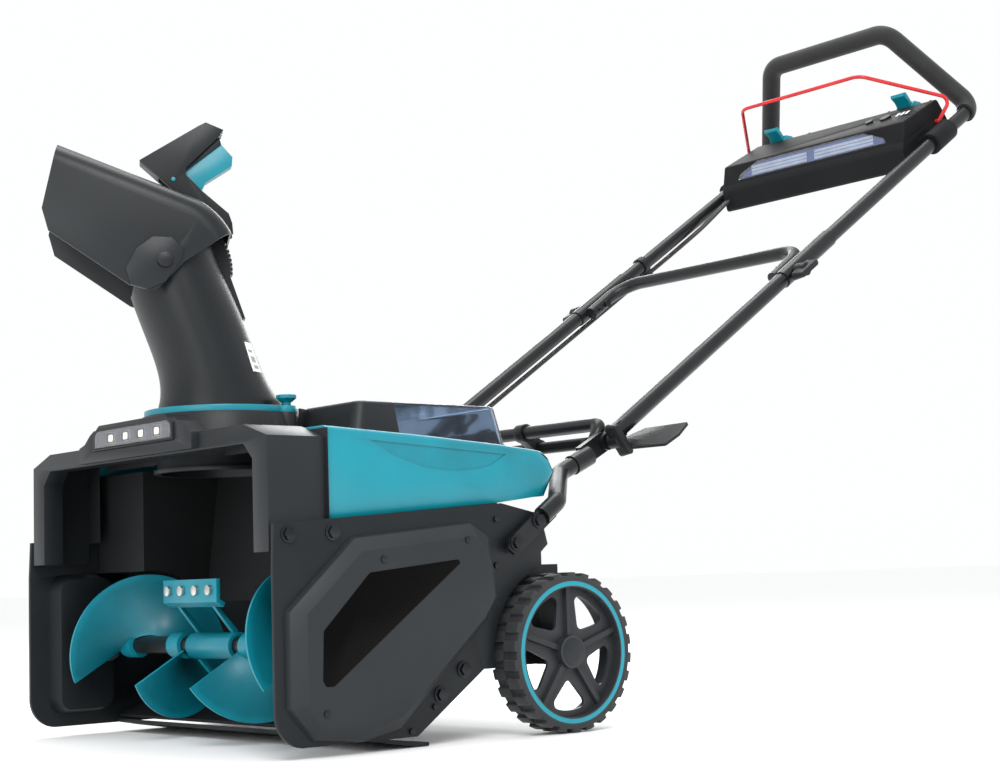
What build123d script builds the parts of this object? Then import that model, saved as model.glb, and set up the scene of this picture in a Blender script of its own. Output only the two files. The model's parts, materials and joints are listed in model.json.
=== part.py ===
"""Battery snow blower: single-stage auger, turning chute, folding handle with a control console.

Millimetres. +Z is up, -Y is the snow intake at the front, +X is the operator's left.
The origin is on the ground below the middle of the machine. Most stations along the machine
are given as a distance behind the front edge of the side plates, called y here, and the
planes below turn them into the model's own Y.
"""

import math
import os

from build123d import *

os.makedirs("parts", exist_ok=True)

# ---------------------------------------------------------------- driving dimensions
FRONT = -653.19  # model Y of the side plates' front edge
PLATE_IN = 276.0  # inner face of a side plate
PLATE_T = 5.0
PLATE_OUT = PLATE_IN + PLATE_T

AUGER_Y, AUGER_Z = 105.0, 113.0
AUGER_R = 88.0
TROUGH_R = 93.0
SHEET = 3.5  # wall of the moulded housings

WHEEL_Y, WHEEL_Z = 402.0, 93.0
WHEEL_R = 93.0
WHEEL_IN, WHEEL_OUT = 262.0, 303.0
ARCH_R = 104.0

CHUTE_Y = 115.4
CHUTE_TURN = -29.3  # the chute points this far to the operator's right at rest
CHUTE_BASE_Z = 386.0
HOOD_PIVOT = (-66.0, 564.0)  # in the chute's own side view
HOOD_R = 86.0
RACK_R = 82.0
RACK_TEETH = 8

PIVOT_Y, PIVOT_Z = 552.0, 350.7  # the handle's fold axis
HANDLE_ANGLE = 33.5
RAIL_X = 213.5  # centre of a handle tube
RAIL_R = 11.1
GRIP_S = 1020.0  # the grip loop's plane, measured along the tubes
GRIP_R = 15.5

RUN = 0.05  # running clearance of a shaft in its bore
AIR = 0.4  # gap between parts that move past each other


# ---------------------------------------------------------------- planes and helpers
def side(x):
    """Side view at x: sketches take (y, z), and extrude towards +X."""
    return Plane(origin=(x, FRONT, 0), x_dir=(0, 1, 0), z_dir=(1, 0, 0))


def level(z):
    """Plan view at height z: sketches take (x, y), and extrude upwards."""
    return Plane(origin=(0, FRONT, z), x_dir=(1, 0, 0), z_dir=(0, 0, 1))


def facing(y):
    """Front view at y: sketches take (x, z), and extrude towards the front."""
    return Plane(origin=(0, FRONT + y, 0), x_dir=(1, 0, 0), z_dir=(0, -1, 0))


CHUTE_A = math.radians(CHUTE_TURN)
CHUTE_ACROSS = (math.cos(CHUTE_A), math.sin(CHUTE_A), 0)
CHUTE_BACK = (-math.sin(CHUTE_A), math.cos(CHUTE_A), 0)


def chute_side(x):
    """Side view of the turned chute, x across it: sketches take (back, z)."""
    origin = (x * CHUTE_ACROSS[0], FRONT + CHUTE_Y + x * CHUTE_ACROSS[1], 0)
    return Plane(origin=origin, x_dir=CHUTE_BACK, z_dir=CHUTE_ACROSS)


def chute_level(z):
    """Plan view of the turned chute at height z: sketches take (across, back)."""
    return Plane(origin=(0, FRONT + CHUTE_Y, z), x_dir=CHUTE_ACROSS, z_dir=(0, 0, 1))


TILT = math.radians(HANDLE_ANGLE)


def on_handle(x, s, n=0.0):
    """A model point on the handle: s along the tubes from the fold axis, n square to them."""
    y = FRONT + PIVOT_Y + s * math.cos(TILT) - n * math.sin(TILT)
    return (x, y, PIVOT_Z + s * math.sin(TILT) + n * math.cos(TILT))


def handle_side(x):
    """Side view of the handle at x: sketches take (s, n), and extrude towards +X."""
    return Plane(origin=on_handle(x, 0), x_dir=(0, math.cos(TILT), math.sin(TILT)), z_dir=(1, 0, 0))


def handle_face(s):
    """Looking up the tubes at s: sketches take (-x, n), and extrude up the handle."""
    return Plane(origin=on_handle(0, s), x_dir=(-1, 0, 0), z_dir=(0, math.cos(TILT), math.sin(TILT)))


def save(piece, name):
    piece.part.label = name
    export_step(piece.part, f"parts/{name}.step")


def outline(points):
    """A closed face through the points, in the sketch being built."""
    with BuildLine() as edge:
        Polyline(*points, close=True)
    make_face(edge.edges())


def across(start, points, width, mode=Mode.ADD):
    """A side-view outline extruded along +X from x = start."""
    with BuildSketch(side(start)) as profile:
        outline(points)
    extrude(profile.sketch, amount=width, mode=mode)


def tube(points, radii, outer, inner=0.0, mode=Mode.ADD):
    """A bent round tube through the points, with a bend radius at each inner point."""
    with BuildLine() as path:
        if len(points) > 2:
            FilletPolyline(*points, radius=radii)
        else:
            Line(*points)
    with BuildSketch(Plane(origin=path.line @ 0, z_dir=path.line % 0)) as section:
        Circle(outer)
        if inner:
            Circle(inner, mode=Mode.SUBTRACT)
    sweep(section.sketch, path=path.line, mode=mode)


def rod(start, end, radius, mode=Mode.ADD):
    """A round bar from start to end, both model points."""
    a, b = Vector(*start), Vector(*end)
    with BuildSketch(Plane(origin=a, z_dir=b - a)) as section:
        Circle(radius)
    extrude(section.sketch, amount=(b - a).length, mode=mode)


def at(x, y, z):
    """The model point at x across, y behind the front edge and z up."""
    return (x, FRONT + y, z)


def mirrored(piece):
    """The same piece for the other side of the machine."""
    with BuildPart() as other:
        mirror(piece.part, about=Plane.YZ)
    return other


# ---------------------------------------------------------------- side plates
PLATE_FRONT_TOP = (2, 246)
ARCH_LOW_Y = WHEEL_Y - math.sqrt(ARCH_R**2 - (WHEEL_Z - 79.5) ** 2)
ARCH_TOP = (375.0, WHEEL_Z + math.sqrt(ARCH_R**2 - (WHEEL_Y - 375.0) ** 2))
ARCH_MID_A = math.radians(145)
ARCH_MID = (WHEEL_Y + ARCH_R * math.cos(ARCH_MID_A), WHEEL_Z + ARCH_R * math.sin(ARCH_MID_A))

with BuildPart() as side_plate_left:
    with BuildSketch(side(PLATE_IN)):
        with BuildLine():
            Polyline(PLATE_FRONT_TOP, (0, 200), (0, 50))
            ThreePointArc((0, 50), (9, 24), (32, 11.8))
            Polyline((32, 11.8), (184, 11.8), (282, 79.5), (ARCH_LOW_Y, 79.5))
            ThreePointArc((ARCH_LOW_Y, 79.5), ARCH_MID, ARCH_TOP)
            Polyline(ARCH_TOP, (375, 211), (386, 220), (381, 238), (368, 257), (315, 268), PLATE_FRONT_TOP)
        make_face()
    extrude(amount=PLATE_T)
    # the wheel arch is pressed inwards: a curved wall and a flat panel that carries the axle
    with BuildSketch(side(WHEEL_IN - 10)):
        with Locations((WHEEL_Y, WHEEL_Z)):
            Circle(ARCH_R + 3)
        with Locations((359, 138)):
            Rectangle(130, 117, mode=Mode.INTERSECT)
    extrude(amount=3)
    with BuildSketch(side(WHEEL_IN - 10)):
        with Locations((WHEEL_Y, WHEEL_Z)):
            Circle(ARCH_R + 3)
            Circle(ARCH_R, mode=Mode.SUBTRACT)
        with Locations((336, 139)):
            Rectangle(78, 119, mode=Mode.INTERSECT)
    extrude(amount=PLATE_OUT - WHEEL_IN + 10)
    rod(at(240, WHEEL_Y, WHEEL_Z), at(255, WHEEL_Y, WHEEL_Z), 15)
    rod(at(230, WHEEL_Y, WHEEL_Z), at(300, WHEEL_Y, WHEEL_Z), 6 + RUN, mode=Mode.SUBTRACT)
    rod(at(PLATE_IN - 1, AUGER_Y, AUGER_Z), at(PLATE_OUT + 1, AUGER_Y, AUGER_Z), 18, mode=Mode.SUBTRACT)
side_plate_right = mirrored(side_plate_left)

MOTOR_Y, MOTOR_Z = 252.0, 186.0
with BuildPart() as left_plate_with_drive:
    add(side_plate_left.part)
    rod(at(PLATE_IN - 1, MOTOR_Y, MOTOR_Z), at(PLATE_OUT + 1, MOTOR_Y, MOTOR_Z), 10, mode=Mode.SUBTRACT)

with BuildPart() as right_plate_with_blister:
    add(side_plate_right.part)
    # blister that stands into the housing around the end of the auger shaft
    with BuildSketch(side(-PLATE_IN)):
        with Locations((66, 116)):
            RectangleRounded(84, 176, 20)
    extrude(amount=26, taper=12)
    with BuildSketch(side(-PLATE_IN - 1)):
        with Locations((66, 116)):
            RectangleRounded(76, 168, 17)
    extrude(amount=24, taper=12, mode=Mode.SUBTRACT)
    rod(at(-300, AUGER_Y, AUGER_Z), at(-240, AUGER_Y, AUGER_Z), 18, mode=Mode.SUBTRACT)
    rod(at(-275.9, AUGER_Y, AUGER_Z), at(-240, AUGER_Y, AUGER_Z), 23, mode=Mode.SUBTRACT)

save(left_plate_with_drive, "side_plate_left")
save(right_plate_with_blister, "side_plate_right")

# ---------------------------------------------------------------- auger housing
BAFFLE_Y = 92.0  # front face of the panels beside the throat
THROAT_X = 150.0
DECK_Z = 351.0  # underside of the top deck


def ring_sector(a0, a1):
    """Side-view sector of the trough wall between two angles, as a face."""
    low = [(math.cos(math.radians(a)), math.sin(math.radians(a))) for a in (a0, (a0 + a1) / 2, a1)]
    inner = [(AUGER_Y + TROUGH_R * c, AUGER_Z + TROUGH_R * s) for c, s in low]
    outer = [(AUGER_Y + (TROUGH_R + SHEET) * c, AUGER_Z + (TROUGH_R + SHEET) * s) for c, s in low]
    with BuildLine() as edge:
        ThreePointArc(*inner)
        Line(inner[2], outer[2])
        ThreePointArc(*reversed(outer))
        Line(outer[0], inner[0])
    make_face(edge.edges())


LIP_A = -78.0  # the trough starts here, just above the scraper
with BuildPart() as auger_housing:
    for x in (-PLATE_IN + AIR, THROAT_X):
        with BuildSketch(side(x)):
            ring_sector(LIP_A, 98)
        extrude(amount=PLATE_IN - AIR - THROAT_X)
        panel = [(BAFFLE_Y, 206.5), (BAFFLE_Y + SHEET, 206.5), (BAFFLE_Y + SHEET, 330), (BAFFLE_Y, 330)]
        across(max(x, -265.5), panel, 265.5 - THROAT_X)
    with BuildSketch(side(-THROAT_X)):
        ring_sector(LIP_A, 34)
    extrude(amount=2 * THROAT_X)
    across(-THROAT_X, [(182, 164.6), (185.6, 163.6), (207, 334), (203.4, 334)], 2 * THROAT_X)
    for x in (-THROAT_X - SHEET, THROAT_X):
        with BuildSketch(side(x)):
            outline([(BAFFLE_Y, 206.5), (BAFFLE_Y, 330), (205, 334), (184, 164), (140, 190)])
            with Locations((AUGER_Y, AUGER_Z)):
                Circle(TROUGH_R, mode=Mode.SUBTRACT)
        extrude(amount=SHEET)
save(auger_housing, "auger_housing")

with BuildPart() as scraper_blade:
    across(-274, [(120, 12.5), (150, 6.5), (190, 0), (205, 0), (205, 4), (152, 10.5), (120, 16.8)], 548)
save(scraper_blade, "scraper_blade")

# ---------------------------------------------------------------- upper frame with the chute seat
FRAME_X = 270.0
FRAME_REAR = 78.0
DECK_X = 191.0
DECK_REAR = 213.0
NECK_R0, NECK_R1 = 104.0, 95.0
THROAT_R = 73.5

with BuildPart() as upper_frame:
    shell = [(-FRAME_X, 217), (-FRAME_X, 340), (-224, 355), (224, 355), (FRAME_X, 340), (FRAME_X, 217)]
    with BuildSketch(facing(FRAME_REAR)):
        outline(shell)
    extrude(amount=FRAME_REAR - 2)
    with BuildSketch(facing(FRAME_REAR)):
        outline([(-266.5, 210), (-266.5, 338), (-223, 351), (223, 351), (266.5, 338), (266.5, 210)])
    extrude(amount=FRAME_REAR - 28, mode=Mode.SUBTRACT)
    with BuildSketch(facing(30)):
        outline([(-241, 210), (-241, 317), (-224, 334), (224, 334), (241, 317), (241, 210)])
    extrude(amount=40, mode=Mode.SUBTRACT)
    for x in (-PLATE_IN + 0.1, FRAME_X - 2):
        across(x, [(4, 217), (76, 217), (76, 246), (4, 246)], PLATE_IN - FRAME_X + 1.9)
    # raised wings each side of the front light, and the sill below it
    for sign in (-1, 1):
        wing = [(93.4, 336), (93.4, 374), (104, 369), (117, 359), (131, 355), (131, 336)]
        with BuildSketch(facing(20)):
            outline([(sign * x, z) for x, z in wing])
        extrude(amount=26)
    with BuildSketch(level(336)):
        outline([(-131, 3), (-104, -6), (104, -6), (131, 3)])
    extrude(amount=12.6)
    # deck behind the frame, under the front of the battery lid
    with BuildSketch(level(DECK_Z)):
        with Locations((0, (FRAME_REAR + DECK_REAR) / 2 - 5)):
            Rectangle(2 * DECK_X, DECK_REAR - FRAME_REAR + 10)
    extrude(amount=4)
    with BuildSketch(level(DECK_Z + 1)):
        with Locations((0, CHUTE_Y)):
            Circle(NECK_R0)
    with BuildSketch(level(CHUTE_BASE_Z)):
        with Locations((0, CHUTE_Y)):
            Circle(NECK_R1)
    loft()
    # lug for the chute's locking knob
    rod(at(84, 153, DECK_Z + 1), at(84, 153, CHUTE_BASE_Z), 12)
    # inlet collar that hangs into the throat
    rod(at(0, CHUTE_Y, 318), at(0, CHUTE_Y, CHUTE_BASE_Z), THROAT_R + 4)
    with BuildSketch(level(318)):
        with Locations((0, CHUTE_Y)):
            Circle(THROAT_R + 8)
    extrude(amount=5)
    rod(at(0, CHUTE_Y, 300), at(0, CHUTE_Y, 420), THROAT_R, mode=Mode.SUBTRACT)
    rod(at(84, 153, 370), at(84, 153, 400), 3 + RUN, mode=Mode.SUBTRACT)
save(upper_frame, "upper_frame")

with BuildPart() as front_light_housing:
    face = [(-93, 349), (-93, 369), (-78, 379), (78, 379), (93, 369), (93, 349)]
    with BuildSketch(facing(1.6)):
        outline(face)
    extrude(amount=9.6)
    with BuildSketch(facing(22)):
        outline([(-93, 355.2), (-93, 369), (-78, 379), (78, 379), (93, 369), (93, 355.2)])
    extrude(amount=20.4)
    with BuildSketch(facing(-3)):
        outline([(-88, 352), (-88, 367), (-80, 372), (80, 372), (88, 367), (88, 352)])
    extrude(amount=6, mode=Mode.SUBTRACT)
    rod(at(0, CHUTE_Y, 350), at(0, CHUTE_Y, 385), NECK_R0 + 0.5, mode=Mode.SUBTRACT)
save(front_light_housing, "front_light_housing")

with BuildPart() as front_light_lens:
    with BuildSketch(facing(-5.5)):
        outline([(-87.8, 352.2), (-87.8, 366.9), (-79.9, 371.8), (79.9, 371.8), (87.8, 366.9), (87.8, 352.2)])
    extrude(amount=2.4)
    for x in (-52, -17, 19, 55):
        with BuildSketch(facing(-3)):
            with Locations((x, 362)):
                Rectangle(21, 12)
        extrude(amount=2.5, taper=8)
save(front_light_lens, "front_light_lens")

with BuildPart() as chute_ring:
    rod(at(0, CHUTE_Y, CHUTE_BASE_Z), at(0, CHUTE_Y, 393.5), 92)
    rod(at(84, 153, CHUTE_BASE_Z), at(84, 153, 393.5), 11)
    rod(at(0, CHUTE_Y, CHUTE_BASE_Z - 1), at(0, CHUTE_Y, 390), 87.5, mode=Mode.SUBTRACT)
    rod(at(0, CHUTE_Y, 380), at(0, CHUTE_Y, 400), 79.5, mode=Mode.SUBTRACT)
    rod(at(84, 153, 380), at(84, 153, 400), 3 + RUN, mode=Mode.SUBTRACT)
save(chute_ring, "chute_ring")

with BuildPart() as chute_knob:
    rod(at(84, 153, 372), at(84, 153, 399), 3)
    rod(at(84, 153, 393.9), at(84, 153, 399), 5.5)
    with BuildSketch(level(398)):
        with Locations((84, 153)):
            Circle(6.5)
    with BuildSketch(level(402.5)):
        with Locations((84, 153)):
            Circle(12)
    loft()
    rod(at(84, 153, 402.4), at(84, 153, 406.5), 12)
    with BuildSketch(level(398)):
        with Locations((84, 153)):
            with PolarLocations(13.5, 8):
                Circle(2.2)
    extrude(amount=10, mode=Mode.SUBTRACT)
save(chute_knob, "chute_knob")

# ---------------------------------------------------------------- rear cover
OPEN_X = 194.0
OPEN_REAR = 398.0
COVER = [(78.4, 251), (78.4, 353), (227, 345), (328, 338), (404, 331)]
COVER += [(411, 326), (421, 307), (404, 278), (376, 276), (319, 269)]
INNER = [(60, 240), (60, 350), (227, 341.5), (328, 334.5), (403, 327.5)]
INNER += [(408, 324), (417, 307), (399, 276), (380, 240)]

with BuildPart() as rear_cover:
    across(-FRAME_X, COVER, 2 * FRAME_X)
    rear = rear_cover.edges().filter_by(GeomType.LINE)
    rear = rear.filter_by(lambda e: abs(abs(e.center().X) - FRAME_X) < 0.1)
    fillet(rear.filter_by(lambda e: e.center().Y > FRONT + 405), 20)
    top = rear_cover.edges().filter_by(lambda e: abs(abs(e.center().X) - FRAME_X) < 0.1)
    fillet(top.filter_by(lambda e: e.center().Z > 325 and abs(e.tangent_at(0.5).Y) > 0.9), 7)
    with BuildSketch(side(-FRAME_X + SHEET)):
        outline(INNER)
    extrude(amount=2 * (FRAME_X - SHEET), mode=Mode.SUBTRACT)
    with BuildSketch(level(300)):
        with Locations((0, (60 + OPEN_REAR) / 2)):
            Rectangle(2 * OPEN_X, OPEN_REAR - 60)
    extrude(amount=80, mode=Mode.SUBTRACT)
    lid_gap = [(150, 348.2), (227, 346.2), (328, 340.7), (404, 334), (404, 400), (150, 400)]
    across(-205, lid_gap, 410, mode=Mode.SUBTRACT)
    for x in (-167, -138.5, 132.5, 161):
        across(x, [(403, 325), (413, 320), (414, 338), (409, 343), (404, 338)], 6)
    for x in (-150, 150):
        rod(at(x - 16, 409, 338), at(x + 16, 409, 338), 2.5)
    # scallop along each side, below the shoulder
    for x in (-FRAME_X - 1, FRAME_X - 1.5):
        with BuildSketch(side(x)):
            with BuildLine():
                ThreePointArc((138, 338), (215, 309), (312, 313))
                Polyline((312, 313), (335, 326), (138, 338))
            make_face()
        extrude(amount=2.5, mode=Mode.SUBTRACT)
save(rear_cover, "rear_cover")

# ---------------------------------------------------------------- battery bay, packs and lid
BAY_X, BAY_FRONT, BAY_REAR, BAY_Z0, BAY_Z1 = 187.0, 217.0, 394.0, 236.0, 340.0

with BuildPart() as battery_bay:
    with BuildSketch(level(BAY_Z0)):
        with Locations((0, (BAY_FRONT + BAY_REAR) / 2)):
            RectangleRounded(2 * BAY_X, BAY_REAR - BAY_FRONT, 8)
    extrude(amount=BAY_Z1 - BAY_Z0)
    with BuildSketch(level(BAY_Z0 + 3)):
        with Locations((0, (BAY_FRONT + BAY_REAR) / 2)):
            RectangleRounded(2 * BAY_X - 6, BAY_REAR - BAY_FRONT - 6, 5)
    extrude(amount=BAY_Z1, mode=Mode.SUBTRACT)
    with BuildSketch(level(BAY_Z0 + 3)):
        with Locations((0, (BAY_FRONT + BAY_REAR) / 2)):
            Rectangle(8, BAY_REAR - BAY_FRONT - 2)
    extrude(amount=60)
save(battery_bay, "battery_bay")

with BuildPart() as battery_packs:
    for x in (-92, 92):
        with BuildSketch(level(BAY_Z0 + 3.2)):
            with Locations((x, 305)):
                RectangleRounded(130, 150, 14)
        extrude(amount=92)
        with BuildSketch(level(BAY_Z0 + 95.2)):
            with Locations((x, 300)):
                RectangleRounded(84, 116, 10)
        extrude(amount=22, taper=10)
    fillet(battery_packs.faces().filter_by(Axis.Z).group_by(Axis.Z)[-2].edges(), 4)
save(battery_packs, "battery_packs")

LID_HINGE_Y, LID_HINGE_Z = 409.0, 338.0
LID_BASE_X, LID_TOP_X = 202.0, 185.0
LID_NOTCH_R = 105.5
LID_SEAT = [(120, 349.6), (227, 346.5), (328, 341), (420, 334.5), (420, 300), (120, 300)]  # below the lid


def lid_block(inset):
    """The lid's outer form, shrunk by a wall thickness."""
    with BuildSketch(level(330 - inset)) as base:
        with Locations((0, 283)):
            Rectangle(2 * (LID_BASE_X - inset), 240 - 2 * inset)
    with BuildSketch(level(392.5 - inset)) as top:
        with Locations((0, 291)):
            Rectangle(2 * (LID_TOP_X - inset), 212 - 2 * inset)
    loft([base.sketch, top.sketch])


with BuildPart() as lid_form:
    lid_block(0)
    fillet(lid_form.edges().filter_by(lambda e: abs(e.tangent_at(0.5).Z) > 0.5), 14)
    fillet(lid_form.faces().sort_by(Axis.Z)[-1].edges(), 6)

with BuildPart() as lid_hollow:
    lid_block(3)
    fillet(lid_hollow.edges().filter_by(lambda e: abs(e.tangent_at(0.5).Z) > 0.5), 11)

with BuildPart() as lid_shell:
    add(lid_form.part)
    add(lid_hollow.part, mode=Mode.SUBTRACT)
    rod(at(0, CHUTE_Y, 330), at(0, CHUTE_Y, 420), LID_NOTCH_R, mode=Mode.SUBTRACT)
    across(-230, LID_SEAT, 460, mode=Mode.SUBTRACT)
    deck = [(100, 340), (DECK_REAR + AIR, 340), (DECK_REAR + AIR, 355.4), (100, 355.4)]
    across(-DECK_X - AIR, deck, 2 * DECK_X + 2 * AIR, mode=Mode.SUBTRACT)
    with BuildSketch(level(355.4)):
        with Locations((0, CHUTE_Y)):
            Circle(LID_NOTCH_R + 3)
            Circle(LID_NOTCH_R, mode=Mode.SUBTRACT)
        with Locations((0, 283)):
            Rectangle(2 * LID_TOP_X, 240, mode=Mode.INTERSECT)
    extrude(amount=34.5)
    across(-60, [(221.2, 347), (224, 347), (224, 360), (221.2, 360)], 120)

WINDOW_Y = 236.0  # the clear window starts here
with BuildPart() as battery_lid:
    add(lid_shell.part)
    with BuildSketch(level(330)):
        with Locations((0, WINDOW_Y - 200)):
            Rectangle(500, 400)
    extrude(amount=100, mode=Mode.SUBTRACT)
    # knuckles behind the rear wall
    for x in (-150, 150):
        rod(at(x - 10, LID_HINGE_Y, LID_HINGE_Z), at(x + 10, LID_HINGE_Y, LID_HINGE_Z), 5)
        across(x - 10, [(400.5, 336), (LID_HINGE_Y, 333), (LID_HINGE_Y, 343), (399.6, 352)], 20)
        start, end = at(x - 20, LID_HINGE_Y, LID_HINGE_Z), at(x + 20, LID_HINGE_Y, LID_HINGE_Z)
        rod(start, end, 2.5 + RUN, mode=Mode.SUBTRACT)
save(battery_lid, "battery_lid")

with BuildPart() as lid_front_trim:
    add(lid_shell.part)
    with BuildSketch(level(330)):
        with Locations((0, WINDOW_Y - 0.1 + 200)):
            Rectangle(500, 400)
    extrude(amount=100, mode=Mode.SUBTRACT)
    # latch tongue under the front edge
    across(-24, [(221.5, 352), (224, 352), (224, 342), (227, 340), (227, 337), (221.5, 337)], 48)
save(lid_front_trim, "lid_front_trim")

# ---------------------------------------------------------------- motor, drive and underside
HOUSING_X = 190.0
with BuildPart() as motor_housing:
    outer = [(209, 150), (226, 133), (392, 133), (396, 140), (396, 235.8), (209, 235.8)]
    inner = [(212, 151), (227, 136), (390, 136), (393, 141), (393, 240), (212, 240)]
    across(-HOUSING_X, outer, 2 * HOUSING_X)
    across(-HOUSING_X + 3, inner, 2 * HOUSING_X - 6, mode=Mode.SUBTRACT)
    rod(at(180, MOTOR_Y, MOTOR_Z), at(200, MOTOR_Y, MOTOR_Z), 8, mode=Mode.SUBTRACT)
    # wings out to the pressed arches of the side plates
    for x in (-251.8, HOUSING_X - 1):
        across(x, [(300, 136), (370, 136), (370, 140), (300, 140)], 62.8)
    for x in (-251.8, 247.8):
        across(x, [(300, 136), (370, 136), (370, 165), (300, 165)], 4)
save(motor_housing, "motor_housing")

with BuildPart() as drive_motor:
    rod(at(96, MOTOR_Y, MOTOR_Z), at(186.8, MOTOR_Y, MOTOR_Z), 37)
    rod(at(98, MOTOR_Y, MOTOR_Z), at(184, MOTOR_Y, MOTOR_Z), 34, mode=Mode.SUBTRACT)
    rod(at(180, MOTOR_Y, MOTOR_Z), at(190, MOTOR_Y, MOTOR_Z), 5 + RUN, mode=Mode.SUBTRACT)
save(drive_motor, "drive_motor")

with BuildPart() as control_unit:
    with BuildSketch(level(136.5)):
        with Locations((-30, 300)):
            RectangleRounded(140, 110, 8)
    extrude(amount=40)
    with BuildSketch(level(176)):
        with Locations((-30, 300)):
            with GridLocations(16, 1, 8, 1):
                Rectangle(3, 100)
    extrude(amount=12)
save(control_unit, "control_unit")

PULLEY_X0, PULLEY_W = 283.5, 9.0
BIG_R, SMALL_R = 40.0, 14.0


def pulley(y, z, radius, bore):
    """A flanged belt pulley on the drive side."""
    rod(at(PULLEY_X0, y, z), at(PULLEY_X0 + PULLEY_W, y, z), radius)
    for x in (PULLEY_X0, PULLEY_X0 + PULLEY_W - 1):
        rod(at(x, y, z), at(x + 1, y, z), radius + 3)
    rod(at(PULLEY_X0 - 1, y, z), at(PULLEY_X0 + PULLEY_W + 1, y, z), bore, mode=Mode.SUBTRACT)


with BuildPart() as auger_pulley:
    pulley(AUGER_Y, AUGER_Z, BIG_R, 8)
save(auger_pulley, "auger_pulley")

with BuildPart() as motor_rotor:
    rod(at(104, MOTOR_Y, MOTOR_Z), at(178, MOTOR_Y, MOTOR_Z), 30)
    pulley(MOTOR_Y, MOTOR_Z, SMALL_R, 4)
    rod(at(99, MOTOR_Y, MOTOR_Z), at(293.5, MOTOR_Y, MOTOR_Z), 5)
save(motor_rotor, "motor_rotor")

BELT_GAP = 0.3
SPAN_Y, SPAN_Z = MOTOR_Y - AUGER_Y, MOTOR_Z - AUGER_Z
with BuildPart() as drive_belt:
    with BuildSketch(side(PULLEY_X0 + 2)) as belt:
        for grow in (2.2, 0):
            big, small = BIG_R + BELT_GAP + grow, SMALL_R + BELT_GAP + grow
            span = math.hypot(SPAN_Y, SPAN_Z)
            lean = math.acos((big - small) / span)
            base = math.atan2(SPAN_Z, SPAN_Y)
            up, down = base + lean, base - lean
            loop = [
                (AUGER_Y + big * math.cos(up), AUGER_Z + big * math.sin(up)),
                (MOTOR_Y + small * math.cos(up), MOTOR_Z + small * math.sin(up)),
                (MOTOR_Y + small * math.cos(base), MOTOR_Z + small * math.sin(base)),
                (MOTOR_Y + small * math.cos(down), MOTOR_Z + small * math.sin(down)),
                (AUGER_Y + big * math.cos(down), AUGER_Z + big * math.sin(down)),
                (AUGER_Y - big * math.cos(base), AUGER_Z - big * math.sin(base)),
            ]
            with BuildLine(mode=Mode.PRIVATE) as round_belt:
                Line(loop[0], loop[1])
                ThreePointArc(loop[1], loop[2], loop[3])
                Line(loop[3], loop[4])
                ThreePointArc(loop[4], loop[5], loop[0])
            make_face(round_belt.edges(), mode=Mode.ADD if grow else Mode.SUBTRACT)
    extrude(amount=5)
save(drive_belt, "drive_belt")

DRIVE_OUTLINE = [(99, 231), (262, 246), (290, 230), (301, 162), (283, 134)]
DRIVE_OUTLINE += [(157, 22), (108, 12), (43, 18), (12, 52), (12, 154)]
DRIVE_FACE = [(103, 215), (264, 230), (279, 216), (288, 160), (272, 138)]
DRIVE_FACE += [(152, 36), (112, 27), (44, 32), (30, 56), (30, 150)]


def inset(points, amount):
    """The outline moved inwards all round."""
    with BuildSketch(Plane.XY, mode=Mode.PRIVATE) as shape:
        outline(points)
        if amount:
            offset(amount=-amount, mode=Mode.REPLACE)
    return shape.sketch


with BuildPart() as drive_cover:
    loft([side(281.2) * inset(DRIVE_OUTLINE, 0), side(289) * inset(DRIVE_OUTLINE, 2)], ruled=True)
    loft([side(289) * inset(DRIVE_OUTLINE, 2), side(298) * inset(DRIVE_FACE, 0)], ruled=True)
    cavity = [side(281) * inset(DRIVE_OUTLINE, 3), side(288) * inset(DRIVE_OUTLINE, 5)]
    loft(cavity, ruled=True, mode=Mode.SUBTRACT)
    roof = [side(287.9) * inset(DRIVE_OUTLINE, 5), side(295.7) * inset(DRIVE_FACE, 2.5)]
    loft(roof, ruled=True, mode=Mode.SUBTRACT)
save(drive_cover, "drive_cover")

with BuildPart() as wheel_axle:
    rod(at(-299, WHEEL_Y, WHEEL_Z), at(299, WHEEL_Y, WHEEL_Z), 6)
save(wheel_axle, "wheel_axle")

with BuildPart() as auger_bearings:
    for sign in (-1, 1):
        rod(at(sign * 274.5, AUGER_Y, AUGER_Z), at(sign * 281.1, AUGER_Y, AUGER_Z), 17.9)
        rod(at(sign * 270, AUGER_Y, AUGER_Z), at(sign * 275.9, AUGER_Y, AUGER_Z), 22)
    rod(at(-300, AUGER_Y, AUGER_Z), at(300, AUGER_Y, AUGER_Z), 8 + RUN, mode=Mode.SUBTRACT)
save(auger_bearings, "auger_bearings")

# ---------------------------------------------------------------- wheels
TREADS = 26
SPOKES = 5


def on_wheel(x):
    """Side view centred on the left wheel's axle."""
    return Plane(origin=at(x, WHEEL_Y, WHEEL_Z), x_dir=(0, 1, 0), z_dir=(1, 0, 0))


TYRE_W = WHEEL_OUT - WHEEL_IN
with BuildPart() as tyre_left:
    with BuildSketch(on_wheel(WHEEL_IN)):
        Circle(WHEEL_R - 4)
        Circle(80, mode=Mode.SUBTRACT)
    extrude(amount=TYRE_W)
    with BuildSketch(on_wheel(WHEEL_IN)):
        with PolarLocations(WHEEL_R - 4, TREADS):
            Rectangle(8, 12)
        Circle(WHEEL_R - 6, mode=Mode.SUBTRACT)
        Circle(WHEEL_R, mode=Mode.INTERSECT)
    extrude(amount=TYRE_W * 0.48)
    with BuildSketch(on_wheel(WHEEL_OUT)):
        with PolarLocations(WHEEL_R - 4, TREADS, start_angle=180 / TREADS):
            Rectangle(8, 12)
        Circle(WHEEL_R - 6, mode=Mode.SUBTRACT)
        Circle(WHEEL_R, mode=Mode.INTERSECT)
    extrude(amount=-TYRE_W * 0.48)

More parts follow.
